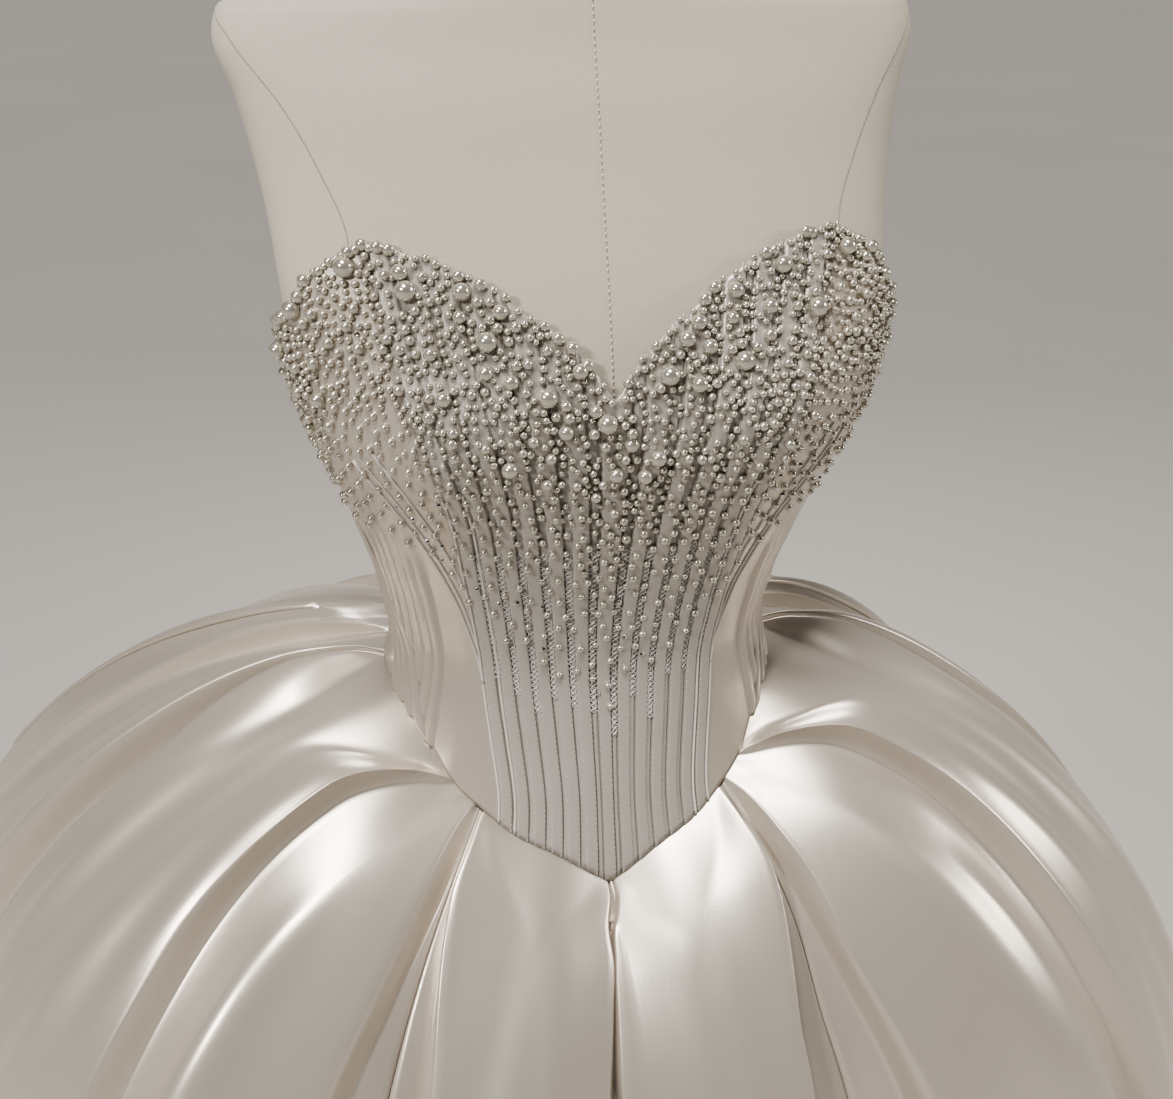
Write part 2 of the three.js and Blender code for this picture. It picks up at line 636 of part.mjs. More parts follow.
function skirtPanel(first, last) {
  const outer = [];
  const inner = [];
  for (const level of SKIRT_LEVELS) {
    const folds = PLEATS.map((pleat) => foldAt(pleat, level));
    const angles = panelAngles(folds, first, last);
    const lifts = angles.map((angle) => skirtLift(folds, angle, level));
    const points = angles.map((angle, j) => skirtPoint(angle, level, lifts[j]));
    outer.push(points);
    inner.push(angles.map((angle, j) => {
      const deep = WALL * steepness(points, lifts, j);
      return skirtPoint(angle, level, lifts[j] - deep);
    }));
  }
  return wall(outer, inner, [...outer[0].keys()]);
}

function buildSkirt() {
  const seams = PLEATS.map((pleat, i) => (pleat.sewn ? i : -1)).filter((i) => i >= 0);
  SKIRT_NAMES.forEach((name, i) => addPiece(name, skirtPanel(seams[i], seams[i + 1]), satin));
}

buildForm();
buildBodice();
buildSkirt();

export default gown;
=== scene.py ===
import math

import bmesh
import bpy
import numpy as np
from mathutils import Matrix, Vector


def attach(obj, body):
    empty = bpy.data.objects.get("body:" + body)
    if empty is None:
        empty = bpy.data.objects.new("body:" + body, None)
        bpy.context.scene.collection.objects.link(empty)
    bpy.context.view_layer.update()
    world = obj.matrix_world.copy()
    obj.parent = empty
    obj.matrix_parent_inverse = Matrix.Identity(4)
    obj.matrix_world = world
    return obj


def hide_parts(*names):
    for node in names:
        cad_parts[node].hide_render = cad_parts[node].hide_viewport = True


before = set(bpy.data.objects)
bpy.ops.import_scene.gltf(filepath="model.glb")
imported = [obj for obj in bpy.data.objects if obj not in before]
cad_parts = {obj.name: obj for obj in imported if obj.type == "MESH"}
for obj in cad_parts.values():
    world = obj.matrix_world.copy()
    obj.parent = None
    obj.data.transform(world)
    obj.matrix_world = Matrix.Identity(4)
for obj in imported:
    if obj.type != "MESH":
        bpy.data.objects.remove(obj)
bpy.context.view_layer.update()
mm = 0.001                               # the tables below are in millimetres and degrees
rng = np.random.default_rng(11)


# small helpers for numbers

def lerp(a, b, t):
    return a + (b - a) * t


def smooth(x, low, high):
    t = np.clip((np.asarray(x, float) - low) / (high - low), 0, 1)
    return t * t * (3 - 2 * t)


def bell(x, width):
    return np.exp(-(np.asarray(x, float) / width) ** 2)


def signedPower(value, power):
    return np.sign(value) * np.abs(value) ** power


def curve(points):
    # smooth line through (x, y) pairs that never overshoots them
    xs, ys = np.array(points, float).T
    step = np.diff(xs)
    rise = np.diff(ys) / step
    slope = np.concatenate([rise[:1], np.zeros(len(xs) - 2), rise[-1:]])
    for i in range(1, len(xs) - 1):
        if rise[i - 1] * rise[i] > 0:
            before = (2 * step[i] + step[i - 1]) / rise[i - 1]
            after = (step[i] + 2 * step[i - 1]) / rise[i]
            slope[i] = 3 * (step[i - 1] + step[i]) / (before + after)

    def at(x):
        x = np.clip(np.asarray(x, float), xs[0], xs[-1])
        i = np.clip(np.searchsorted(xs, x) - 1, 0, len(step) - 1)
        q = (x - xs[i]) / step[i]
        p = 1 - q
        ends = ys[i] * (1 + 2 * q) * p * p + ys[i + 1] * (3 - 2 * q) * q * q
        return ends + step[i] * q * p * (slope[i] * p - slope[i + 1] * q)

    return at


# shader sums: one socket that adds Math nodes, and one method for every other node

class Shade:
    def __init__(self, tree, socket=None):
        self.tree = tree
        self.socket = socket

    def node(self, kind, settings, sockets, output=0):
        made = self.tree.nodes.new("ShaderNode" + kind)
        for name, value in settings.items():
            setattr(made, name, value)
        for key, value in sockets.items():
            if isinstance(value, Shade):
                self.tree.links.new(value.socket, made.inputs[key])
            else:
                made.inputs[key].default_value = value
        return Shade(self.tree, made.outputs[output] if len(made.outputs) else None)

    def maths(self, operation, first, second):
        return self.node("Math", dict(operation=operation), {0: first, 1: second})

    def __add__(self, other):
        return self.maths("ADD", self, other)

    def __radd__(self, other):
        return self.maths("ADD", other, self)

    def __sub__(self, other):
        return self.maths("SUBTRACT", self, other)

    def __rsub__(self, other):
        return self.maths("SUBTRACT", other, self)

    def __mul__(self, other):
        return self.maths("MULTIPLY", self, other)

    def __rmul__(self, other):
        return self.maths("MULTIPLY", other, self)

    def sine(self):
        return self.maths("SINE", self, 0.0)


def startFinish(name):
    material = bpy.data.materials.new(name)
    material.use_nodes = True
    material.node_tree.nodes.clear()
    return material, Shade(material.node_tree)


def noiseOf(shade, place, scale, detail=2.0, stretch=(1, 1, 1)):
    spread = shade.node("Mapping", {}, {"Vector": place, "Scale": stretch})
    return shade.node("TexNoise", {}, {"Vector": spread, "Scale": scale, "Detail": detail})


def blendOf(shade, share, first, second):
    return shade.node("Mix", dict(data_type="RGBA"), {0: share, 6: (*first, 1), 7: (*second, 1)}, 2)


def closeFinish(shade, sockets):
    surface = shade.node("BsdfPrincipled", {}, sockets)
    shade.node("OutputMaterial", {}, {"Surface": surface})


# finishes

def satinFinish(name, light, dark, gloss, roughness, threads):
    material, shade = startFinish(name)
    place = shade.node("TexCoord", {}, {}, "Object")
    cloth = shade.node("UVMap", dict(uv_map="cloth"), {})
    cloud = noiseOf(shade, place, 5.0)
    warp = noiseOf(shade, cloth, 1.0, 1.0, (threads, threads / 22, 1))
    weft = noiseOf(shade, cloth, 1.0, 1.0, (threads / 30, threads * 0.8, 1))
    weave = 0.65 * warp + 0.35 * weft
    bump = shade.node("Bump", {}, {"Strength": 0.12, "Distance": 0.0004, "Height": weave})
    closeFinish(shade, {
        "Base Color": blendOf(shade, cloud, dark, light),
        "Metallic": gloss,
        "Roughness": roughness - 0.05 + 0.06 * cloud + 0.05 * weave,
        "Specular IOR Level": 0.6,
        "Sheen Weight": 0.08,
        "Normal": bump,
    })
    return material


def bonedFinish():
    # satin tapes over a netted ground; the attribute recess marks the ground, and groove marks the sewn
    # grooves, which are darkened with painted shade
    material, shade = startFinish("bonedSatin")
    place = shade.node("TexCoord", {}, {}, "Object")
    cloth = shade.node("UVMap", dict(uv_map="cloth"), {})
    recess = shade.node("Attribute", dict(attribute_name="recess"), {}, "Fac")
    groove = shade.node("Attribute", dict(attribute_name="groove"), {}, "Fac")
    cloud = noiseOf(shade, place, 9.0)
    warp = noiseOf(shade, cloth, 1.0, 1.0, (1400, 60, 1))
    net = shade.node("TexVoronoi", dict(feature="DISTANCE_TO_EDGE"), {"Vector": cloth, "Scale": 620.0})
    tape = blendOf(shade, cloud, (0.55, 0.52, 0.48), (0.63, 0.60, 0.56))
    ground = blendOf(shade, net, (0.52, 0.50, 0.47), (0.42, 0.40, 0.37))
    colour = shade.node("Mix", dict(data_type="RGBA"), {0: recess, 6: tape, 7: ground}, 2)
    # painted shade: along the sewn grooves the colour is pulled towards a brown-grey shadow
    shadow = (0.30, 0.27, 0.235, 1)
    colour = shade.node("Mix", dict(data_type="RGBA"), {0: 0.55 * groove, 6: colour, 7: shadow}, 2)
    relief = (1 - recess) * warp * 0.4 + recess * (1 - 3 * net)
    bump = shade.node("Bump", {}, {"Strength": 0.25, "Distance": 0.0004, "Height": relief})
    closeFinish(shade, {
        "Base Color": colour,
        "Metallic": 0.25 - 0.25 * recess,
        "Roughness": 0.34 + 0.2 * recess + 0.06 * cloud,
        "Normal": bump,
    })
    return material


def pearlFinish():
    material, shade = startFinish("pearl")
    place = shade.node("TexCoord", {}, {}, "Object")
    tone = noiseOf(shade, place, 160.0, 1.0)
    closeFinish(shade, {
        "Base Color": blendOf(shade, tone, (0.60, 0.57, 0.50), (0.78, 0.75, 0.68)),
        "Metallic": 0.46 + 0.26 * tone,
        "Roughness": 0.15 + 0.06 * tone,
        "Specular IOR Level": 0.7,
        "Coat Weight": 0.7,
        "Coat Roughness": 0.06,
    })
    return material


def glossFinish(name, dark, light, metallic, roughness, grain):
    # crystals, the slider and the stand
    material, shade = startFinish(name)
    place = shade.node("TexCoord", {}, {}, "Object")
    tone = noiseOf(shade, place, grain, 3.0)
    bump = shade.node("Bump", {}, {"Strength": 0.04, "Distance": 0.0006, "Height": tone})
    closeFinish(shade, {
        "Base Color": blendOf(shade, tone, dark, light),
        "Metallic": metallic,
        "Roughness": roughness + 0.12 * tone,
        "Normal": bump,
    })
    return material


def threadFinish(name, dark, light):
    material, shade = startFinish(name)
    place = shade.node("TexCoord", {}, {}, "Object")
    tone = noiseOf(shade, place, 420.0, 1.0)
    closeFinish(shade, {
        "Base Color": blendOf(shade, tone, dark, light),
        "Roughness": 0.5 + 0.2 * tone,
        "Sheen Weight": 0.2,
    })
    return material


def linenFinish():
    material, shade = startFinish("formLinen")
    place = shade.node("TexCoord", {}, {}, "Object")
    cloth = shade.node("UVMap", dict(uv_map="cloth"), {})
    cloud = noiseOf(shade, place, 3.5, 4.0)
    parts = shade.node("SeparateXYZ", {}, {"Vector": cloth})
    across = (parts * 4200.0).sine()
    along = (Shade(shade.tree, parts.socket.node.outputs["Y"]) * 4200.0).sine()
    slub = noiseOf(shade, cloth, 1.0, 2.0, (160, 1400, 1))
    weave = across * along * 0.5 + slub
    bump = shade.node("Bump", {}, {"Strength": 0.22, "Distance": 0.0003, "Height": weave})
    closeFinish(shade, {
        "Base Color": blendOf(shade, 0.6 * cloud + 0.4 * slub, (0.56, 0.525, 0.45), (0.69, 0.65, 0.57)),
        "Roughness": 0.78 + 0.1 * slub,
        "Specular IOR Level": 0.3,
        "Sheen Weight": 0.15,
        "Normal": bump,
    })
    return material


def woodFinish():
    material, shade = startFinish("formWood")
    place = shade.node("TexCoord", {}, {}, "Object")
    grain = noiseOf(shade, place, 1.0, 4.0, (30, 260, 260))
    bump = shade.node("Bump", {}, {"Strength": 0.1, "Distance": 0.0005, "Height": grain})
    closeFinish(shade, {
        "Base Color": blendOf(shade, grain, (0.22, 0.13, 0.07), (0.42, 0.28, 0.16)),
        "Roughness": 0.42 + 0.15 * grain,
        "Normal": bump,
    })
    return material


def floorFinish():
    material, shade = startFinish("floor")
    place = shade.node("TexCoord", {}, {}, "Object")
    tone = noiseOf(shade, place, 0.8)
    closeFinish(shade, {
        "Base Color": blendOf(shade, tone, (0.45, 0.435, 0.415), (0.49, 0.475, 0.455)),
        "Roughness": 0.75,
    })
    return material


satin = satinFinish("satin", (0.70, 0.645, 0.58), (0.63, 0.575, 0.51), 0.46, 0.31, 1500.0)
boned = bonedFinish()
tapeCloth = satinFinish("zipTape", (0.72, 0.68, 0.62), (0.66, 0.62, 0.56), 0.0, 0.5, 900.0)
pearl = pearlFinish()
crystal = glossFinish("crystal", (0.45, 0.45, 0.46), (0.92, 0.92, 0.94), 1.0, 0.04, 500.0)
steel = glossFinish("sliderMetal", (0.62, 0.60, 0.57), (0.78, 0.76, 0.73), 1.0, 0.22, 300.0)
enamel = glossFinish("formMetal", (0.50, 0.49, 0.475), (0.58, 0.57, 0.555), 0.35, 0.32, 60.0)
laceThread = threadFinish("laceThread", (0.76, 0.75, 0.73), (0.88, 0.87, 0.85))
pipingThread = threadFinish("pipingThread", (0.74, 0.71, 0.67), (0.84, 0.81, 0.77))
seamThread = threadFinish("seamThread", (0.36, 0.32, 0.26), (0.50, 0.46, 0.39))
linen = linenFinish()
wood = woodFinish()
print("finishes made")


# pieces from grids of points

def finishPiece(mesh, finish, replaced=()):
    mesh.materials.append(finish)
    piece = bpy.data.objects.new(mesh.name, mesh)
    bpy.context.scene.collection.objects.link(piece)
    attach(piece, "root")
    if replaced:
        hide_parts(*replaced)
    return piece


def gridMesh(name, points, closed=False):
    # a flat grid, moved to rows by columns of points; its map is in metres of cloth
    rows, columns = points.shape[:2]
    bm = bmesh.new()
    bm.loops.layers.uv.new("cloth")
    bmesh.ops.create_grid(bm, x_segments=columns - 1, y_segments=rows - 1, size=0.5)
    for face in bm.faces:
        face.smooth = True
    mesh = bpy.data.meshes.new(name)
    bm.to_mesh(mesh)
    bm.free()
    flat = np.empty(len(mesh.vertices) * 3)
    mesh.vertices.foreach_get("co", flat)
    flat = flat.reshape(-1, 3) + 0.5
    i = np.rint(flat[:, 1] * (rows - 1)).astype(int)
    j = np.rint(flat[:, 0] * (columns - 1)).astype(int)
    mesh.vertices.foreach_set("co", (points[i, j] * mm).ravel())
    across, along = np.zeros((rows, columns)), np.zeros((rows, columns))
    across[:, 1:] = np.cumsum(np.linalg.norm(np.diff(points, axis=1), axis=2), axis=1)
    across -= across[:, -1:] / 2
    along[1:] = np.cumsum(np.linalg.norm(np.diff(points, axis=0), axis=2), axis=0)
    corner = np.empty(len(mesh.loops), np.int32)
    mesh.loops.foreach_get("vertex_index", corner)
    cloth = np.stack([across[i, j], along[i, j]], -1)[corner] * mm
    mesh.uv_layers["cloth"].data.foreach_set("uv", cloth.ravel())
    if closed:
        closeMesh(mesh)
    mesh.update()
    return mesh


def closeMesh(mesh):
    # sew the first column to the last and close both ends
    bm = bmesh.new()
    bm.from_mesh(mesh)
    bmesh.ops.remove_doubles(bm, verts=bm.verts, dist=1e-6)
    bmesh.ops.holes_fill(bm, edges=bm.edges, sides=0)
    bmesh.ops.recalc_face_normals(bm, faces=bm.faces)
    bm.to_mesh(mesh)
    bm.free()


def thicken(piece, thickness):
    wall = piece.modifiers.new("wall", "SOLIDIFY")
    wall.thickness = thickness * mm
    wall.offset = -1
    return piece


def scatter(name, seedMesh, centres, frames, flat=False):
    # joined copies of a small seed, each with its own axes
    count = len(centres)
    seedCo = np.array([v.co for v in seedMesh.verts])
    seedFaces = np.array([[v.index for v in f.verts] for f in seedMesh.faces])
    corners = seedFaces.shape[1]
    co = np.einsum("nij,vj->nvi", frames, seedCo) + centres[:, None, :]
    loops = (seedFaces[None] + (np.arange(count) * len(seedCo))[:, None, None]).ravel()
    faceCount = count * len(seedFaces)
    mesh = bpy.data.meshes.new(name)
    mesh.vertices.add(count * len(seedCo))
    mesh.vertices.foreach_set("co", (co * mm).ravel())
    mesh.loops.add(len(loops))
    mesh.loops.foreach_set("vertex_index", loops.astype(np.int32))
    mesh.polygons.add(faceCount)
    mesh.polygons.foreach_set("loop_start", np.arange(0, faceCount * corners, corners, dtype=np.int32))
    mesh.polygons.foreach_set("use_smooth", np.full(faceCount, not flat))
    mesh.update(calc_edges=True)
    mesh.validate()
    return mesh


def seedBall(subdivisions):
    bm = bmesh.new()
    bmesh.ops.create_icosphere(bm, subdivisions=subdivisions, radius=1)
    bm.verts.ensure_lookup_table()
    return bm


def tubePoints(path, radius, sides):
    # rings of points round a path, for a thin cord
    path = np.asarray(path, float)
    along = np.gradient(path, axis=0)
    along /= np.linalg.norm(along, axis=1)[:, None]
    outward = path * (1, 1, 0)
    outward /= np.linalg.norm(outward, axis=1)[:, None]
    side = np.cross(along, outward)
    side /= np.linalg.norm(side, axis=1)[:, None]
    up = np.cross(side, along)
    turns = np.linspace(0, 2 * math.pi, sides + 1)
    ring = np.cos(turns)[None, :, None] * side[:, None] + np.sin(turns)[None, :, None] * up[:, None]
    return path[:, None] + radius * ring


def joinMeshes(name, meshes):
    bm = bmesh.new()
    for mesh in meshes:
        bm.from_mesh(mesh)
        bpy.data.meshes.remove(mesh)
    bmesh.ops.recalc_face_normals(bm, faces=bm.faces)
    joined = bpy.data.meshes.new(name)
    bm.to_mesh(joined)
    bm.free()
    return joined


def closedTube(name, path, radius, sides):
    return gridMesh(name, tubePoints(path, radius, sides), closed=True)


# dress form

form = dict(
    # height, half width, front, back, where it is widest, squareness
    sections=[
        (780, 150, -100, 112, 5, 1), (850, 162, -110, 118, 5, 1), (910, 148, -109, 108, 0, 1),
        (960, 130, -100, 95, 0, 1), (1005, 116, -91, 84, 0, 0.98), (1040, 111, -87, 80, -2, 0.96),
        (1073, 113, -89, 82, -10, 0.94), (1100, 119, -95, 84, -22, 0.92), (1125, 127, -102, 86, -35, 0.9),
        (1150, 136, -108, 88, -46, 0.88), (1175, 145, -112, 90, -54, 0.86), (1200, 153, -113, 92, -57, 0.85),
        (1230, 159, -108, 94, -54, 0.84), (1260, 163, -100, 95, -46, 0.83), (1290, 166, -90, 95, -34, 0.82),
        (1320, 171, -80, 92, -22, 0.82), (1350, 178, -71, 87, -12, 0.83), (1378, 187, -61, 80, 0, 0.86),
        (1392, 184, -57, 74, 3, 0.9), (1403, 156, -54, 69, 5, 0.94), (1415, 118, -52, 63, 5, 0.98),
        (1430, 84, -51, 58, 3, 1), (1445, 66, -50, 54, 1, 1), (1475, 57, -50, 52, 0, 1),
    ],
    bust=dict(x=82, z=1192, reach=42, rise=11, side=0.3),
    bottom=790, top=1475, gap=0.3, columns=120,
    bodyRows=(1340, 90), shoulderRows=(1344, 64),   # where each part of the grid ends or starts, and its rows
    seamRadius=0.32, seamOut=0.1, stitchPitch=3.4,
    stitch=dict(out=0.35, radius=0.5, length=1.1),
    frontSeam=(1204, 1404),              # stitched line down the middle of the chest
    armSeam=[(1240, 64), (1262, 52), (1288, 46.7), (1322, 51.5), (1356, 60), (1380, 71), (1391, 86)],
    neckSeam=[(0, 1404), (60, 1412), (100, 1432), (180, 1440)],
    cap=dict(radius=46, height=14, round=4),
    pole=dict(radius=16),
    base=dict(radius=215, height=16, round=5),
)
half, front, back, mid, square = (curve([(row[0], row[i]) for row in form["sections"]]) for i in range(1, 6))


def figurePoint(angle, z, out):
    # point on the form's surface, moved out level
    angle, z, out = np.broadcast_arrays(*(np.asarray(v, float) for v in (angle, z, out)))
    turn = np.radians(angle)
    across = signedPower(np.sin(turn), square(z))
    forward = signedPower(np.cos(turn), square(z))
    middle = mid(z)
    depth = np.where(forward >= 0, middle - front(z), back(z) - middle)
    x = (half(z) + out) * across
    y = middle - (depth + out) * forward
    bust = form["bust"]
    mound = bell(np.abs(x) - bust["x"], bust["reach"]) * bell(z - bust["z"], bust["reach"])
    mound = bust["rise"] * mound * np.clip(forward / bust["side"], 0, 1)
    return np.stack([x, y - mound, z], -1)


def figureAngle(x, z, out):
    # angle of the front surface at a distance from the middle
    return np.degrees(np.arcsin(signedPower(np.clip(x / (half(z) + out), -1, 1), 1 / square(z))))


def turned(name, profile, finish, node):
    # a disc or rod, spun from half of its section
    bm = bmesh.new()
    verts = [bm.verts.new((r * mm, 0, z * mm)) for r, z in profile]
    edges = [bm.edges.new(pair) for pair in zip(verts, verts[1:])]
    bmesh.ops.spin(bm, geom=verts + edges, axis=(0, 0, 1), cent=(0, 0, 0), angle=2 * math.pi,
                   steps=72, use_merge=True)
    bmesh.ops.remove_doubles(bm, verts=bm.verts, dist=1e-6)
    bmesh.ops.recalc_face_normals(bm, faces=bm.faces)
    for face in bm.faces:
        face.smooth = abs(face.normal.z) < 0.99
    mesh = bpy.data.meshes.new(name)
    bm.to_mesh(mesh)
    bm.free()
    mesh.set_sharp_from_angle(angle=math.radians(50))
    return finishPiece(mesh, finish, [node])


def roundedRim(size, bottom, steps=6):
    inner, top = size["radius"] - size["round"], bottom + size["height"]
    corner = [(inner + size["round"] * math.cos(a), top - size["round"] * (1 - math.sin(a)))
              for a in np.linspace(0, math.pi / 2, steps)]
    return [(0, bottom), (size["radius"], bottom), *corner, (0, top)]


def buildForm():
    body, shoulder = form["bodyRows"], form["shoulderRows"]
    heights = np.concatenate([np.linspace(form["bottom"], *body),
                              np.linspace(shoulder[0], form["top"], shoulder[1])])
    angles = np.linspace(0, 360, form["columns"] + 1) - 180
    points = figurePoint(angles[None, :], heights[:, None], 0)
    mesh = gridMesh("formTorso", points, closed=True)
    mesh.set_sharp_from_angle(angle=math.radians(60))
    finishPiece(mesh, linen, ["form_torso"])
    buildFormSeams()
    cap = roundedRim(form["cap"], form["top"] + form["gap"])
    turned("formNeckCap", cap, wood, "form_neck_cap")
    foot = form["base"]["height"] + form["gap"]
    head = form["bottom"] - form["gap"]
    radius = form["pole"]["radius"]
    rod = [(0, foot), (radius, foot), (radius, head), (0, head)]
    turned("formPole", rod, enamel, "form_pole")
    turned("formBase", roundedRim(form["base"], 0), enamel, "form_base")


def buildFormSeams():
    # sewn lines of the cover: middle of the chest, armholes and neck
    out, stitch = form["seamOut"], form["stitch"]
    armAngle = curve(form["armSeam"])
    neckZ = curve(form["neckSeam"])
    z = np.linspace(*form["frontSeam"], 90)
    paths = [figurePoint(np.zeros(90), z, out)]
    z = np.linspace(form["armSeam"][0][0], form["armSeam"][-1][0], 110)
    for side in (1, -1):
        paths.append(figurePoint(side * armAngle(z), z, out))
        paths.append(figurePoint(side * (180 - armAngle(z)), z, out))
    around = np.linspace(-180, 180, 181)
    paths.append(figurePoint(around, neckZ(np.abs(around)), out))
    tubes = [closedTube("seam", path, form["seamRadius"], 6) for path in paths]
    finishPiece(joinMeshes("formSeams", tubes), seamThread)
    low, high = form["frontSeam"]
    z = np.arange(low, high, form["stitchPitch"])
    path = figurePoint(0 * z, z, stitch["out"])
    centres, frames = stitchRow(path, stitch["radius"], stitch["length"])
    finishPiece(scatter("formStitches", seedBall(1), centres, frames), pipingThread)


def stitchRow(path, radius, length):
    # centres and axes of short stitches along a path
    along = np.gradient(path, axis=0)
    along /= np.linalg.norm(along, axis=1)[:, None]
    outward = path * (1, 1, 0)
    outward /= np.linalg.norm(outward, axis=1)[:, None]
    side = np.cross(along, outward)
    frames = np.stack([side * radius, outward * radius, along * length], -1)
    return path, frames


buildForm()
print("dress form made")


# bodice

bodice = dict(
    wall=2, seamGap=0.3, waistGap=0.5,
    waistZ=1040, waistEase=0.8, bodyEase=3, easeReach=40,
    lowRows=26, highRows=66, passes=16, sideBack=128,
    # heights of the waist seam and the neckline by angle
    waistSeam=[(0, 911), (12, 930), (22, 941), (32, 955), (41, 968), (50, 985), (60, 999), (70, 1008),
               (93, 1014), (130, 1008), (180, 1000)],
    neckline=[(0, 1210), (2.5, 1226), (5, 1237), (10, 1251), (17, 1267), (25, 1278), (32, 1284), (41, 1287),
              (48.5, 1281), (59.5, 1269), (68.5, 1254), (90, 1240), (120, 1226), (180, 1220)],
    # angles of the seams by height
    princess=[(908, 26), (955, 27), (1000, 31.5), (1040, 35.5), (1094, 36.5), (1146, 35), (1185, 36),
              (1230, 38.5), (1290, 41)],
    sideFront=[(985, 50), (1005, 55), (1040, 63), (1075, 74), (1110, 86), (1150, 98),
               (1200, 104), (1260, 108)],
)
tapes = dict(count=13, share=0.7, bevel=0.08, rise=1.2, crown=0.25, groove=0.9, grooveWidth=0.045,
             tuck=7, tuckedTo=0.15)
cords = dict(count=4, pitch=4.2, rise=3.0, widths=(1.25, 0.95, 0.9, 0.9),
             front=dict(start=49.5, pitch=4.3, count=6, rise=3.2, fade=(1090, 1140)))
zipper = dict(half=4, slit=0.9, belowEdge=14, slider=(5, 4, 11), pull=(3.2, 1.2, 17))
waistSeam = curve(bodice["waistSeam"])
neckline = curve(bodice["neckline"])
princess = curve(bodice["princess"])
sideFront = curve(bodice["sideFront"])


def ease(z):
    near = smooth(np.abs(z - bodice["waistZ"]), 0, bodice["easeReach"])
    return lerp(bodice["waistEase"], bodice["bodyEase"], near)


def frontAngle(share, z):
    return lerp(-princess(z), princess(z), share)


def tapeGroove(share):
    # a sewn groove on the side of each tape that is nearer the middle, 1 at its bottom
    place = np.clip(np.asarray(share, float) * tapes["count"], 0, tapes["count"] - 1e-6)
    inward = np.sign((tapes["count"] - 1) / 2 - np.floor(place))
    away = place - np.floor(place) - 0.5
    away = np.where(inward == 0, np.abs(away), away * inward)
    return bell(away - tapes["share"] / 2, tapes["grooveWidth"])


def tapeRise(share):
    # raised flat tapes with sewn edges
    place = np.asarray(share, float) * tapes["count"]
    away = np.abs(place - np.floor(place) - 0.5)
    edge = tapes["share"] / 2
    flat = 1 - smooth(away, edge - tapes["bevel"], edge)
    crown = tapes["crown"] * np.clip(1 - (away / edge) ** 2, 0, 1)
    return tapes["rise"] * flat + crown - tapes["groove"] * tapeGroove(share)


def tapeRecess(share):
    place = np.asarray(share, float) * tapes["count"]
    away = np.abs(place - np.floor(place) - 0.5)
    return smooth(away, tapes["share"] / 2 - 0.03, tapes["share"] / 2 + 0.03)


def cordEdges():
    # where the cords lie, as shares of their strip
    edges = np.concatenate([[0], np.cumsum(cords["widths"])])
    return edges / edges[-1]


def cordRise(strip):
    edges = cordEdges()
    strip = np.clip(strip, 0, 1)
    k = np.clip(np.searchsorted(edges, strip, side="right") - 1, 0, cords["count"] - 1)
    place = (strip - edges[k]) / (edges[k + 1] - edges[k])
    return cords["rise"] * np.sqrt(np.clip(1 - (2 * place - 1) ** 2, 0, 1)) * (strip < 1)


def panelGrid(shares, angleAt, riseAt):
    # rows from the waist seam to the neckline; each pass settles where a line meets its row
    below = np.linspace(0, 1, bodice["lowRows"], endpoint=False)
    above = np.linspace(0, 1, bodice["highRows"] + 1)
    share = np.concatenate([below, above])[:, None]
    isBelow = (np.arange(len(share)) < len(below))[:, None]
    z = np.full((len(share), len(shares)), float(bodice["waistZ"]))
    for turn in range(bodice["passes"]):
        side = np.abs(angleAt(shares[None, :], z))
        low = lerp(waistSeam(side) + bodice["waistGap"] / 2, bodice["waistZ"], share)
        z = np.where(isBelow, low, lerp(bodice["waistZ"], neckline(side), share))
    angle = angleAt(shares[None, :], z)
    radius = np.linalg.norm(figurePoint(angle, z, 0)[..., :2], axis=-1)
    trim = np.degrees(bodice["seamGap"] / 2 / radius)
    angle[:, 0] += trim[:, 0]
    angle[:, -1] -= trim[:, -1]
    rise = np.broadcast_to(riseAt(shares[None, :], z), z.shape)
    return figurePoint(angle, z, ease(z) + bodice["wall"] + rise)


def mirrored(points, side):
    return points if side > 0 else points[:, ::-1] * (-1, 1, 1)


def plainRise(shares, z):
    return 0 * z


def addPanel(name, points, finish, node):
    mesh = gridMesh(name, points)
    piece = thicken(finishPiece(mesh, finish, [node]), bodice["wall"])
    return piece


def buildBodiceFront():
    # columns lie closer at each tape's edges
    edge = np.array([-0.08, -0.05, -0.03, -0.01, 0.01, 0.03, 0.05, 0.08, 0.12])
    one = np.concatenate([[0, 0.04], 0.15 + edge, [0.4, 0.5, 0.6], 0.85 + np.sort(-edge), [0.96]])
    count = tapes["count"]
    shares = np.append((np.arange(count)[:, None] + one[None, :]).ravel(), count) / count

    def riseAt(share, z):
        aboveSeam = z - waistSeam(np.abs(frontAngle(share, z)))
        return tapeRise(share) * lerp(tapes["tuckedTo"], 1, smooth(aboveSeam, 0, tapes["tuck"]))

    points = panelGrid(shares, frontAngle, riseAt)
    piece = addPanel("bodiceFront", points, boned, "bodice_front")
    for name, values in (("recess", tapeRecess(shares)), ("groove", tapeGroove(shares))):
        mark = piece.data.attributes.new(name, "FLOAT", "POINT")
        mark.data.foreach_set("value", np.tile(values, points.shape[0]).astype(np.float32))
    return piece


def sideFrontAngle(share, z):
    return lerp(princess(z), sideFront(z), share)


def sideAngle(share, z):
    return lerp(sideFront(z), bodice["sideBack"], share)


def sideRise(share, z):
    strip = cords["count"] * cords["pitch"]
    return cordRise(share * (bodice["sideBack"] - sideFront(z)) / strip)


def sideFrontRise(share, z):
    # more cords in front of the side seam, upright, fading towards the bust
    facts = cords["front"]
    strip = (sideFrontAngle(share, z) - facts["start"]) / facts["pitch"]
    place = strip - np.floor(strip)
    inside = (strip > 0) & (strip < facts["count"])
    high = np.sqrt(np.clip(1 - (2 * place - 1) ** 2, 0, 1)) * inside
    return facts["rise"] * high * (1 - smooth(z, *facts["fade"]))


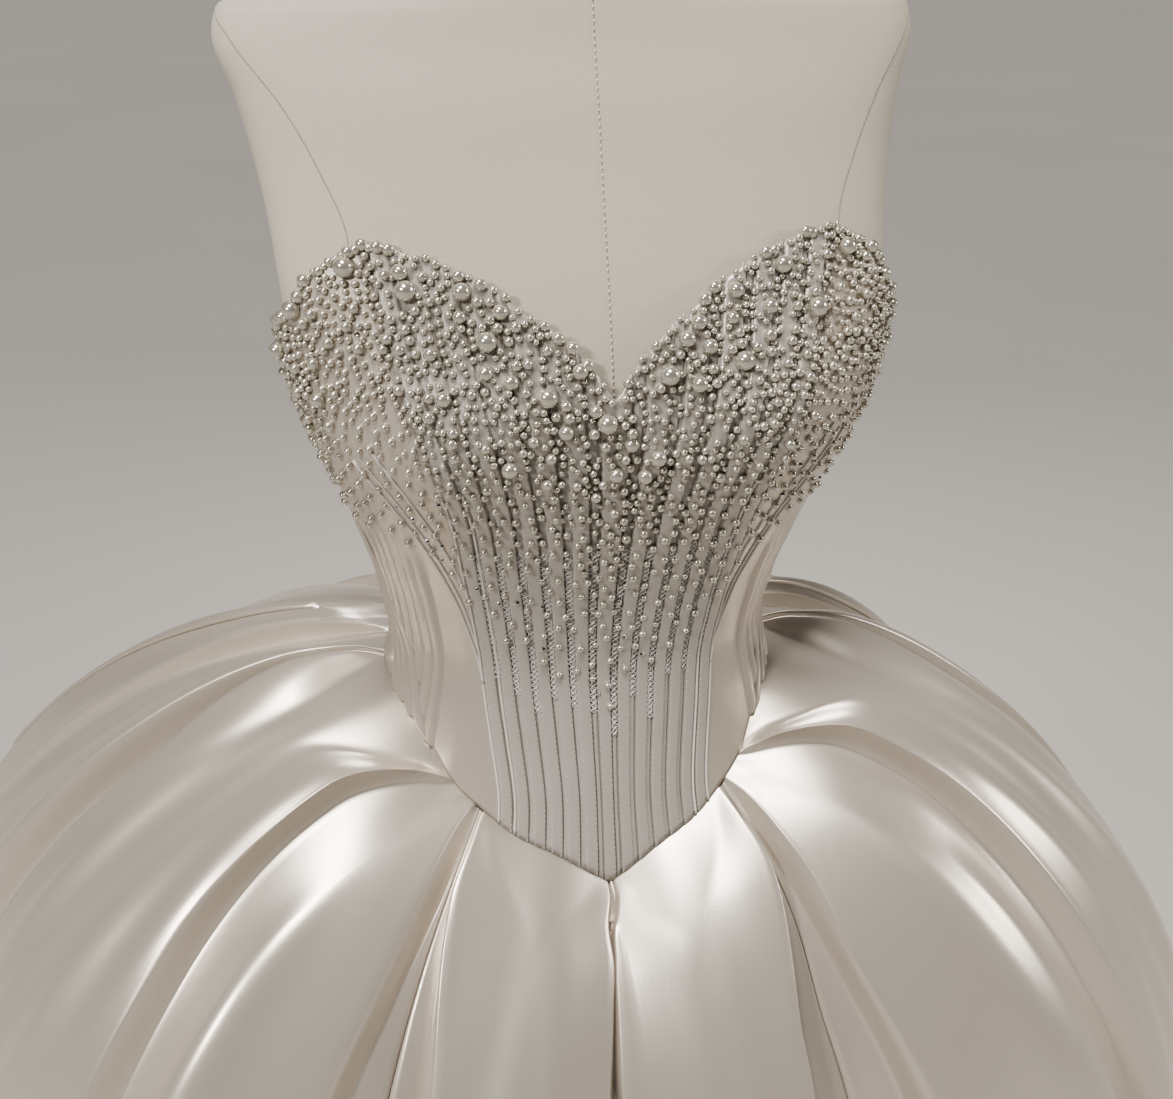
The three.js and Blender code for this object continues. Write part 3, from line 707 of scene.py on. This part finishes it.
def zipAngle(z):
    return np.degrees(zipper["half"] / back(z))


def buildBodiceSides():
    plain = np.linspace(0, 1, 21)
    close = np.concatenate([np.linspace(0, 0.62, 84), np.linspace(0.62, 1, 12)[1:]])
    front = np.concatenate([np.linspace(0, 0.28, 10), np.linspace(0.28, 1, 92)[1:]])

    def backAngle(share, z):
        return lerp(bodice["sideBack"], 180 - zipAngle(z), share)

    for letter, side in (("L", -1), ("R", 1)):
        grid = mirrored(panelGrid(front, sideFrontAngle, sideFrontRise), side)
        addPanel("bodiceSideFront" + letter, grid, satin, "bodice_side_front_" + letter)
        grid = mirrored(panelGrid(close, sideAngle, sideRise), side)
        addPanel("bodiceSide" + letter, grid, satin, "bodice_side_" + letter)
        grid = mirrored(panelGrid(plain, backAngle, plainRise), side)
        addPanel("bodiceBack" + letter, grid, satin, "bodice_back_" + letter)


def buildZip():
    shares = np.array([0, 0.2, 0.36, 0.43, 0.47, 0.5, 0.53, 0.57, 0.64, 0.8, 1])

    def angleAt(share, z):
        return lerp(180 - zipAngle(z), 180 + zipAngle(z), share)

    def slit(share, z):
        return -zipper["slit"] * bell(share - 0.5, 0.045) + 0 * z

    addPanel("backZip", panelGrid(shares, angleAt, slit), tapeCloth, "back_zip")
    z = float(neckline(180)) - zipper["belowEdge"]
    skin = figurePoint(180, z, ease(z) + bodice["wall"])
    bm = bmesh.new()
    for (wide, deep, tall), drop, out in ((zipper["slider"], 0, 1.0), (zipper["pull"], 11.5, 2.2)):
        block = bmesh.ops.create_cube(bm, size=1)["verts"]
        bmesh.ops.scale(bm, vec=Vector((wide, deep, tall)) * mm, verts=block)
        bmesh.ops.translate(bm, vec=Vector((0, skin[1] + out, z - drop)) * mm, verts=block)
    bmesh.ops.bevel(bm, geom=bm.edges[:], offset=0.5 * mm, offset_type="OFFSET", affect="EDGES", segments=3,
                    profile=0.5, material=-1)
    for face in bm.faces:
        face.smooth = True
    slider = bpy.data.meshes.new("zipSlider")
    bm.to_mesh(slider)
    bm.free()
    finishPiece(slider, steel)


bodiceFront = buildBodiceFront()
buildBodiceSides()
buildZip()
print("bodice made")


# skirt

skirt = dict(
    wall=2, hemZ=4, inset=1, hemBlend=1.5, boxSide=12, knifeLeast=2, knifeShare=0.45, knifeTail=1.6,
    names=["BackL", "SideBackL", "SideL", "Front", "SideR", "SideBackR", "BackR"],
    nodes=["skirt_back_L", "skirt_side_back_L", "skirt_side_L", "skirt_front", "skirt_side_R",
           "skirt_side_back_R", "skirt_back_R"],
    # angle, radius of the upper curve, how steep it starts and ends
    dome=[(-180, 540, 9, 73), (-150, 600, 8, 73.5), (-120, 445, 5, 74), (-90, 385, 9, 75),
          (-70, 366, 10, 74.5),
          (-45, 360, 16, 73), (-25, 368, 30, 72), (0, 390, 40, 70), (25, 368, 30, 72), (45, 360, 16, 73),
          (70, 380, 12, 74.5), (90, 420, 14, 75), (120, 400, 14, 74), (150, 510, 9, 73.5), (180, 540, 9, 73)],
    pathDown=(0, 60, 170, 500),
    pleatColumns=["path", "kind", "mouth", "depth", "lip", "peak", "sewn"],
    pleats=[
        ((-180, -180, -180, -180), "box", 1.1, 34, 8, 0.5, True),
        ((-158, -159, -160, -160), "knife", 1, 6, 10, 0.5, False),
        ((-137, -137, -137, -137), "box", 1, 32, 8, 0.5, True),
        ((-114, -116, -118, -118), "knife", 1, 6, 9, 0.5, False),
        ((-92, -92, -90, -88), "box", 1.15, 22, 16, 0.45, True),
        ((-41.5, -51.5, -55, -54), "knife", 1, 7, 20, 0.42, False),
        ((-32.5, -31.5, -30.5, -29), "box", 1, 30, 4, 0.62, True),
        ((0, -1.5, -2, -1), "box", 0.5, 24, 3, 0.38, False),
        ((32.5, 30.5, 26.5, 25), "box", 1, 30, 4, 0.58, True),
        ((41, 51.5, 55, 54), "knife", 1, 7, 20, 0.55, False),
        ((91, 90, 87, 86), "box", 1.15, 22, 16, 0.5, True),
        ((114, 116, 118, 118), "knife", 1, 6, 9, 0.5, False),
        ((137, 137, 137, 137), "box", 1, 32, 8, 0.5, True),
        ((158, 159, 160, 160), "knife", 1, 6, 10, 0.5, False),
        ((180, 180, 180, 180), "box", 1.1, 34, 8, 0.5, True),
    ],
    # length down: half the mouth, depth and lip as shares, fade of the lip, broad swell
    growth=[(0, 3, 0.06, 0, 5, 0), (20, 6, 0.2, 0.55, 12, 1), (65, 13.5, 0.38, 1, 34, 4),
            (170, 30, 0.6, 0.75, 48, 9), (500, 56, 1, 0.4, 70, 15), (1200, 75, 1.15, 0.3, 90, 20)],
    # how far lips roll over their pleat, as a share of the lip
    overhang=dict(knife=0.95, knifeReach=0.6, knifeLoss=0.8, knifeFade=(80, 260), reach=10, box=0.3, boxLeast=4,
                  boxGrowth=(10, 60), outer=7, outerGrowth=(40, 140), frontTo=60),
    waver=dict(pleat=7, turn=0.55, length=44, fade=40),  # the front pleat's closed top wavers
    # soft waves in the cloth: height, waves round the skirt, turn per metre down, start
    waves=[(1.5, 23, 1.1, 0.4), (1.0, 37, -1.7, 2.1), (0.7, 61, 2.3, 4.0)],
    waveFade=(15, 240), curvedRows=78, straightRows=22,
    steps=dict(fade=6, side=9, floor=5, drop=14, between=24),
    cut=[(1.02, 1.17), (0.86, 1.08), (0.95, 1.03), (0.82, 1.03), (0.95, 1.03), (0.86, 1.08), (1.02, 1.17)],
    cutShare=0.62,
)
domeRadius, domeTop, domeBottom = (curve([(row[0], row[i]) for row in skirt["dome"]]) for i in (1, 2, 3))
growth = {name: curve([(row[0], row[i + 1]) for row in skirt["growth"]])
          for i, name in enumerate(("mouth", "depth", "lip", "fade", "swell"))}
pleats = [dict(zip(skirt["pleatColumns"], row)) for row in skirt["pleats"]]
for pleat in pleats:
    pleat["centreAt"] = curve(list(zip(skirt["pathDown"], pleat["path"])))
    pleat["side"] = math.copysign(1, pleat["path"][0])


def profileAt(angle):
    # the plain dome's outline in one direction
    angle = np.asarray(angle, float)
    z = waistSeam(np.abs(angle)) - bodice["waistGap"] / 2
    start = figurePoint(angle, z, ease(z) + skirt["inset"])
    radius = domeRadius(angle)
    top, bottom = np.radians(domeTop(angle)), np.radians(domeBottom(angle))
    drop = radius * (np.cos(top) - np.cos(bottom))
    return dict(z=z, radius=radius, top=top, bottom=bottom, curved=radius * (bottom - top),
                straight=(z - drop - skirt["hemZ"]) / np.sin(bottom),
                waist=np.hypot(start[..., 0], start[..., 1]),
                heading=np.arctan2(start[..., 0], -start[..., 1]))


def domeAt(shape, level):
    curved, fall = min(level, 1), max(level - 1, 0) * shape["straight"]
    down = curved * shape["curved"] + fall
    steep = shape["top"] + curved * (shape["bottom"] - shape["top"])
    reach = shape["waist"] + shape["radius"] * (np.sin(steep) - np.sin(shape["top"])) + fall * np.cos(steep)
    z = shape["z"] - shape["radius"] * (np.cos(shape["top"]) - np.cos(steep)) - fall * np.sin(steep)
    return down, steep, reach, z


def foldAt(pleat, level):
    down = float(domeAt(profileAt(pleat["path"][0]), level)[0])
    centre = float(pleat["centreAt"](down))
    if pleat is pleats[skirt["waver"]["pleat"]]:
        waver = skirt["waver"]
        swing = math.sin(2 * math.pi * down / waver["length"]) * float(bell(down, waver["fade"]))
        centre += waver["turn"] * swing
    reach = float(domeAt(profileAt(centre), level)[2])
    mouth = float(growth["mouth"](down)) * pleat["mouth"]
    fade = float(growth["fade"](down))
    fold = dict(centre=centre, mouth=mouth, fade=fade, kind=pleat["kind"], side=pleat["side"],
                peak=pleat["peak"], degrees=math.degrees(1 / reach),
                depth=float(growth["depth"](down)) * pleat["depth"],
                lip=float(growth["lip"](down)) * pleat["lip"])
    overhang = skirt["overhang"]
    fold["tip"] = fold["lip"] * overhang[pleat["kind"]]
    if pleat["kind"] == "box":
        fold["tip"] += overhang["boxLeast"] * float(smooth(down, *overhang["boxGrowth"]))
        isFront = abs(pleat["path"][0]) < overhang["frontTo"]
        more = overhang["outer"] * float(smooth(down, *overhang["outerGrowth"]))
        fold["outerTip"] = fold["tip"] + isFront * more
    else:
        fold["tip"] *= 1 - overhang["knifeLoss"] * float(smooth(down, *overhang["knifeFade"]))
    if pleat["kind"] == "box":
        floor = mouth - min(mouth / 2, skirt["boxSide"])
        fold.update(floor=floor, lines=[-mouth - fade / 2, -mouth, -floor, 0, floor, mouth, mouth + fade / 2],
                    steps=["fade", "side", "floor", "floor", "side", "fade"])
    else:
        drop = skirt["knifeLeast"] + skirt["knifeShare"] * (fold["lip"] + fold["depth"])
        lines, steps = [-drop - fade / 2, -drop, 0, fade / 2, fade], ["fade", "drop", "fade", "fade"]
        if pleat["side"] < 0:
            lines, steps = [-x for x in lines[::-1]], steps[::-1]
        fold.update(drop=drop, lines=lines, steps=steps)
    return fold


def foldLift(fold, offset):
    # height of one pleat's section, and how far its lip rolls over
    if fold["kind"] == "box":
        away = np.abs(offset)
        inside = lerp(-fold["depth"], fold["lip"], smooth(away, fold["floor"], fold["mouth"]))
        outside = fold["lip"] * (1 - smooth(away, fold["mouth"], fold["mouth"] + fold["fade"]))
        tip = np.where(np.sign(offset) == fold["side"], fold["outerTip"], fold["tip"])
        roll = -np.sign(offset) * tip * bell(away - fold["mouth"], skirt["overhang"]["reach"])
        roll = roll * smooth(away, 0, fold["floor"])
        return np.where(away <= fold["mouth"], inside, outside), roll
    away = offset * fold["side"]
    rear = fold["lip"] * (1 - smooth(away, 0, fold["fade"] * skirt["knifeTail"]))
    face = lerp(fold["lip"], -fold["depth"], smooth(-away, 0, fold["drop"]))
    foot = -fold["depth"] * (1 - smooth(-away, fold["drop"], fold["drop"] + fold["fade"]))
    reach = skirt["overhang"]["knifeReach"] * fold["drop"] + 2
    roll = fold["side"] * fold["tip"] * bell(away + fold["drop"], reach)
    return np.where(away >= 0, rear, np.where(away >= -fold["drop"], face, foot)), roll


def skirtRow(folds, angle, level):
    # cloth over the plain dome: pleats, broad swells between them, and soft waves
    lift, roll = np.zeros(len(angle)), np.zeros(len(angle))
    for fold in folds:
        high, over = foldLift(fold, (angle - fold["centre"]) / fold["degrees"])
        lift += high
        roll += over * fold["degrees"]
    down = domeAt(profileAt(angle), level)[0]
    for fold, following in zip(folds, folds[1:]):
        start = fold["centre"] + (fold["lines"][-1] - fold["fade"] / 2) * fold["degrees"]
        end = following["centre"] + (following["lines"][0] + following["fade"] / 2) * following["degrees"]
        share = np.clip((angle - start) / (end - start), 0, 1)
        bent = share ** (math.log(0.5) / math.log(fold["peak"]))
        lift += growth["swell"](down) * np.sin(math.pi * bent) ** 2
    for height, count, twist, begin in skirt["waves"]:
        phase = np.radians(count * angle) + twist * down * 2 * math.pi * mm + begin
        lift += height * smooth(down, *skirt["waveFade"]) * np.sin(phase)
    _, steep, reach, z = domeAt(profileAt(angle + roll), level)
    heading = profileAt(angle + roll)["heading"]
    lean = lerp(steep, math.pi / 2, smooth(level, skirt["hemBlend"], 2))
    radius = reach + lift * np.sin(lean)
    return np.stack([radius * np.sin(heading), -radius * np.cos(heading), z + lift * np.cos(lean)], -1)


def panelAngles(folds, first, last):
    # columns from the middle of one sewn pleat to the next, close at the pleats' edges
    gap = bodice["seamGap"] / 2
    keys, steps = [], []
    for k in range(first, last + 1):
        fold = folds[k]
        lines, counts = list(fold["lines"]), list(fold["steps"])
        if k == first:
            lines, counts = [gap] + lines[4:], counts[3:]
        if k == last:
            lines, counts = lines[:3] + [-gap], counts[:3]
        if keys:
            steps.append(skirt["steps"]["between"])
        keys += [fold["centre"] + x * fold["degrees"] for x in lines]
        steps += [skirt["steps"][name] for name in counts]
    parts = [np.linspace(a, b, n, endpoint=False) for a, b, n in zip(keys, keys[1:], steps)]
    return np.concatenate(parts + [keys[-1:]])


def buildSkirt():
    curved = np.linspace(0, 1, skirt["curvedRows"]) ** 1.5
    levels = np.concatenate([curved, np.linspace(1, 2, skirt["straightRows"] + 1)[1:]])
    folds = [[foldAt(pleat, level) for pleat in pleats] for level in levels]
    sewn = [i for i, pleat in enumerate(pleats) if pleat["sewn"]]
    for i, name in enumerate(skirt["names"]):
        rows = [skirtRow(row, panelAngles(row, sewn[i], sewn[i + 1]), level)
                for row, level in zip(folds, levels)]
        mesh = gridMesh("skirt" + name, np.array(rows[::-1]))
        piece = thicken(finishPiece(mesh, satin, [skirt["nodes"][i]]), skirt["wall"])


buildSkirt()
print("skirt made")


# pearls and crystals

pearls = dict(
    large=[
        (-156, 1254, 8), (-129, 1277, 9), (-100, 1267, 9), (-74, 1266, 8), (-56, 1256, 7), (-63, 1243, 9),
        (-86, 1217, 7), (-53, 1223, 7), (-35, 1214, 9), (-18, 1226, 7), (-5, 1199, 9), (-26, 1196, 7),
        (8, 1186, 7), (0, 1170, 7), (15, 1168, 7), (27, 1222, 9), (48, 1235, 7), (66, 1227, 9),
        (43, 1247, 7), (63, 1261, 7), (90, 1271, 8), (81, 1252, 7), (107, 1249, 9), (128, 1276, 8),
    ],
    # how far below the neckline the pearls go, by angle
    reach=[(0, 200), (12, 215), (22, 220), (34, 205), (45, 170), (60, 135), (80, 110), (100, 85), (116, 40)],
    edgeSizes=[3.2, 3.8, 3.8, 4.6, 5.6, 7.0], edgeCount=60, edgeSpread=1.6,
    small=(3.3, 4.4), medium=(4.8, 6.2), big=(6.8, 9.0), lone=(3.7, 5.0),
    mediumFrom=0.7, bigFrom=0.965, denseTo=0.4, loneFrom=0.5, spread=12, overlap=0.06,
    firstAngle=1.2, lastAngle=113, tries=30000, sunk=0.24, grown=1.18,
    lean=1.25, belowEdge=2, thinning=1.15, stacked=0.2, jitter=(0.75, 1.3), edgeSunk=0.36,
    crystals=dict(tries=1500, widest=70, shares=(0.1, 0.98), size=(2.8, 3.8), clear=-0.2, apart=4, sunk=0.3),
)


def pearlSurface(angle, z, size, sunk):
    share = np.clip((angle / princess(z) + 1) / 2, 0, 1)
    rise = np.where(np.abs(angle) < princess(z), tapeRise(share), 0)
    return figurePoint(angle, z, ease(z) + bodice["wall"] + rise + size * (0.5 - sunk))


def throwDarts(places, sizes, newPlaces, newSizes, clear):
    # keep each dart that lands clear of those before it
    for place, size, room in zip(newPlaces, newSizes, clear):
        if (np.linalg.norm(places - place, axis=1) - (sizes + size) / 2).min() > room:
            places = np.vstack([places, place])
            sizes = np.append(sizes, size)
    return places, sizes


def pearlPlaces():
    # the large ones listed, then a row along the neckline, then darts that grow sparse downwards
    x, z, large = np.array(pearls["large"], float).T
    large = large * pearls["grown"]
    first = pearlSurface(figureAngle(x, z, ease(z) + bodice["wall"]), z, large, pearls["sunk"])
    edge = np.linspace(pearls["firstAngle"], pearls["lastAngle"], pearls["edgeCount"])
    edge = np.concatenate([-edge[::-1], edge])
    edgeSize = rng.choice(pearls["edgeSizes"], len(edge))
    edgeLow = rng.uniform(-0.5, 1, len(edge)) * pearls["edgeSpread"]
    edgePlace = pearlSurface(edge, neckline(np.abs(edge)) - edgeLow, edgeSize, pearls["edgeSunk"])
    count = pearls["tries"]
    angle = rng.uniform(-pearls["lastAngle"], pearls["lastAngle"], count)
    share = rng.uniform(0, 1, count) ** pearls["lean"]
    kind, part = rng.uniform(0, 1, count), rng.uniform(0, 1, count)
    size = np.where(kind < pearls["mediumFrom"], lerp(*pearls["small"], part), lerp(*pearls["medium"], part))
    size = np.where(kind > pearls["bigFrom"], lerp(*pearls["big"], part), size)
    size = np.where(share > pearls["loneFrom"], lerp(*pearls["lone"], part), size)
    z = neckline(np.abs(angle)) - pearls["belowEdge"] - share * curve(pearls["reach"])(np.abs(angle))
    sparse = np.clip(share - pearls["denseTo"], 0, 1)
    room = pearls["spread"] * sparse ** pearls["thinning"] - pearls["overlap"] * size * (sparse <= 0)
    place = pearlSurface(angle, z, size, pearls["sunk"] - pearls["stacked"] * part * (sparse <= 0))
    return throwDarts(np.vstack([first, edgePlace]), np.concatenate([large, edgeSize]), place, size,
                      room * rng.uniform(*pearls["jitter"], count))


def crystalPlaces(places, sizes):
    facts = pearls["crystals"]
    angle = rng.uniform(-facts["widest"], facts["widest"], facts["tries"])
    share = rng.uniform(*facts["shares"], facts["tries"])
    size = rng.uniform(*facts["size"], facts["tries"])
    z = neckline(np.abs(angle)) - share * curve(pearls["reach"])(np.abs(angle))
    place = pearlSurface(angle, z, size, facts["sunk"])
    count = len(places)
    places, sizes = throwDarts(places, sizes, place, size, facts["clear"] + facts["apart"] * share)
    return places[count:], sizes[count:]


def buildPearls():
    places, sizes = pearlPlaces()
    axes = np.eye(3)[None] * (sizes / 2)[:, None, None]
    big = sizes > pearls["medium"][1]
    finishPiece(scatter("pearlsLarge", seedBall(3), places[big], axes[big]), pearl)
    finishPiece(scatter("pearlsSmall", seedBall(2), places[~big], axes[~big]), pearl)
    gems, gemSizes = crystalPlaces(places, sizes)
    outward = gems * (1, 1, 0) - (0, -30, 0)
    outward /= np.linalg.norm(outward, axis=1)[:, None]
    side = np.stack([-outward[:, 1], outward[:, 0], 0 * outward[:, 0]], -1)
    axes = np.stack([side, np.cross(outward, side), outward], -1) * (gemSizes / 2)[:, None, None]
    bm = bmesh.new()
    bmesh.ops.create_cone(bm, cap_ends=True, cap_tris=True, segments=8, radius1=1, radius2=0.5, depth=0.8)
    bmesh.ops.triangulate(bm, faces=bm.faces)
    finishPiece(scatter("crystals", bm, gems, axes, flat=True), crystal)
    print(len(places), "pearls,", int(big.sum()), "of them large,", len(gems), "crystals")


buildPearls()


# lace in the strips between the tapes, piping and stitches

trimming = dict(
    pipingShares=(0, 1 / 13, 12 / 13, 1), pipingRadius=0.75, pipingTop=1165,
    # lines that leave the front panel and sweep out under the bust: radius, then height and angle
    sweeps=[(0.8, [(1030, 34.8), (1051, 37.2), (1078, 40.2), (1105, 43.8), (1131, 47.8), (1151, 52.2),
                   (1180, 60)]),
            (0.6, [(1052, 36.2), (1078, 38.4), (1105, 41.6), (1131, 45.2), (1151, 49), (1180, 56)]),
            (0.8, [(1085, 36.4), (1094, 37), (1121, 39.6), (1142, 42.6), (1165, 46.5), (1190, 52)])],
    lace=dict(radius=0.38, out=0.3, twine=0.15, width=0.19, wave=6.5, step=0.9,
              lowest=1000, highest=1122, rise=7),
    stitch=dict(sunk=0.1, place=0.285, pitch=3.1, radius=0.2, length=0.85, low=5, high=60),
)


def linePath(share, low, high, step):
    # a line of the front panel, from low above the waist seam to high below the neckline
    bottom = top = float(bodice["waistZ"])
    for turn in range(bodice["passes"]):
        bottom = float(waistSeam(abs(frontAngle(share, bottom)))) + low
        top = float(neckline(abs(frontAngle(share, top)))) - high
    return np.arange(bottom, top, step)


def frontPoint(share, z, out):
    return figurePoint(frontAngle(share, z), z, ease(z) + bodice["wall"] + out)


def buildTrimming():
    cordMeshes, laceMeshes, rows = [], [], []
    for share in trimming["pipingShares"]:
        z = linePath(share, 1, 0, 2.5)
        z = z[z < trimming["pipingTop"]]
        cordMeshes.append(closedTube("piping", frontPoint(share, z, 0.35), trimming["pipingRadius"], 8))
    for radius, line in trimming["sweeps"]:
        z = np.arange(line[0][0], line[-1][0], 2.5)
        for side in (-1, 1):
            path = figurePoint(side * curve(line)(z), z, ease(z) + bodice["wall"] + 0.4)
            cordMeshes.append(closedTube("piping", path, radius, 8))
    finishPiece(joinMeshes("piping", cordMeshes), pipingThread)
    lace = trimming["lace"]
    for k in range(1, tapes["count"]):
        z = np.arange(lace["lowest"], lace["highest"], lace["step"])
        z = z[z > lace["lowest"] + lace["rise"] * abs(k - tapes["count"] / 2) + rng.uniform(-12, 12)]
        for start in (0, math.pi):
            turn = 2 * math.pi * z / lace["wave"] + start + rng.uniform(0, 1)
            swing = np.sin(turn) + 0.35 * np.sin(2.3 * turn + k)
            share = (k + lace["width"] * 0.8 * swing) / tapes["count"]
            path = frontPoint(share, z, lace["out"] + lace["twine"] * np.cos(turn))
            laceMeshes.append(closedTube("lace", path, lace["radius"], 4))
    finishPiece(joinMeshes("laceStrips", laceMeshes), laceThread)
    stitch = trimming["stitch"]
    for k in range(tapes["count"]):
        for side in (-1, 1):
            share = (k + 0.5 + side * stitch["place"]) / tapes["count"]
            z = linePath(share, stitch["low"], stitch["high"], stitch["pitch"])
            path = frontPoint(share, z, tapes["rise"] - stitch["sunk"])
            rows.append(stitchRow(path, stitch["radius"], stitch["length"]))
    centres, frames = (np.concatenate(part) for part in zip(*rows))
    finishPiece(scatter("tapeStitches", seedBall(1), centres, frames), pipingThread)


buildTrimming()
print("trimming made")


# floor, light and camera

studio = dict(
    floorSize=60.0,
    # a broad soft light from above, then softboxes: place, aim, width, power, colour
    sky=dict(toward=(-0.3, -0.5, 1.6), strength=2.3, angle=22, colour=(1.0, 0.965, 0.925)),
    lights=[
        ((-1.7, -1.5, 2.5), (0, -0.05, 1.0), 0.4, 24, (1.0, 0.965, 0.92)),
        ((2.2, -0.5, 1.9), (0, -0.1, 0.9), 0.7, 14, (1.0, 0.96, 0.91)),
        ((0.6, 2.2, 2.4), (0, 0.1, 1.0), 0.9, 26, (1.0, 0.97, 0.94)),
    ],
    world=((0.78, 0.75, 0.71), 0.035),
    look="AgX - High Contrast",
)
view = dict(azimuth=-11, elevation=24, distance=0.9, target=(0, -0.04, 1.1), lens=36 * 1550 / 1173,
            shiftY=(537.3 - 549.5) / 1173)


def buildStudio():
    bm = bmesh.new()
    bmesh.ops.create_grid(bm, x_segments=1, y_segments=1, size=studio["floorSize"] / 2)
    mesh = bpy.data.meshes.new("floor")
    bm.to_mesh(mesh)
    bm.free()
    mesh.materials.append(floorFinish())
    floor = bpy.data.objects.new("floor", mesh)
    bpy.context.scene.collection.objects.link(floor)
    for place, aim, width, power, colour in studio["lights"]:
        light = bpy.data.lights.new("softbox", "AREA")
        light.shape = "SQUARE"
        light.size, light.energy, light.color = width, power, colour
        lamp = bpy.data.objects.new("softbox", light)
        lamp.location = place
        lamp.rotation_euler = (Vector(place) - Vector(aim)).to_track_quat("Z", "Y").to_euler()
        bpy.context.scene.collection.objects.link(lamp)
    sky = studio["sky"]
    broad = bpy.data.lights.new("sky", "SUN")
    broad.energy, broad.angle, broad.color = sky["strength"], math.radians(sky["angle"]), sky["colour"]
    lamp = bpy.data.objects.new("sky", broad)
    lamp.rotation_euler = Vector(sky["toward"]).to_track_quat("Z", "Y").to_euler()
    bpy.context.scene.collection.objects.link(lamp)
    world = bpy.data.worlds.new("studio")
    world.use_nodes = True
    colour, strength = studio["world"]
    world.node_tree.nodes["Background"].inputs["Color"].default_value = (*colour, 1)
    world.node_tree.nodes["Background"].inputs["Strength"].default_value = strength
    bpy.context.scene.world = world
    bpy.context.scene.view_settings.look = studio["look"]


def buildCamera():
    a, e = math.radians(view["azimuth"]), math.radians(view["elevation"])
    away = Vector((math.sin(a) * math.cos(e), -math.cos(a) * math.cos(e), math.sin(e)))
    lens = bpy.data.cameras.new("camera")
    lens.sensor_width = 36
    lens.lens = view["lens"]
    lens.shift_y = view["shiftY"]
    lens.clip_start = 0.01
    camera = bpy.data.objects.new("camera", lens)
    camera.location = Vector(view["target"]) + view["distance"] * away
    camera.rotation_euler = away.to_track_quat("Z", "Y").to_euler()
    bpy.context.scene.collection.objects.link(camera)
    bpy.context.scene.camera = camera


buildStudio()
buildCamera()
print("studio made")
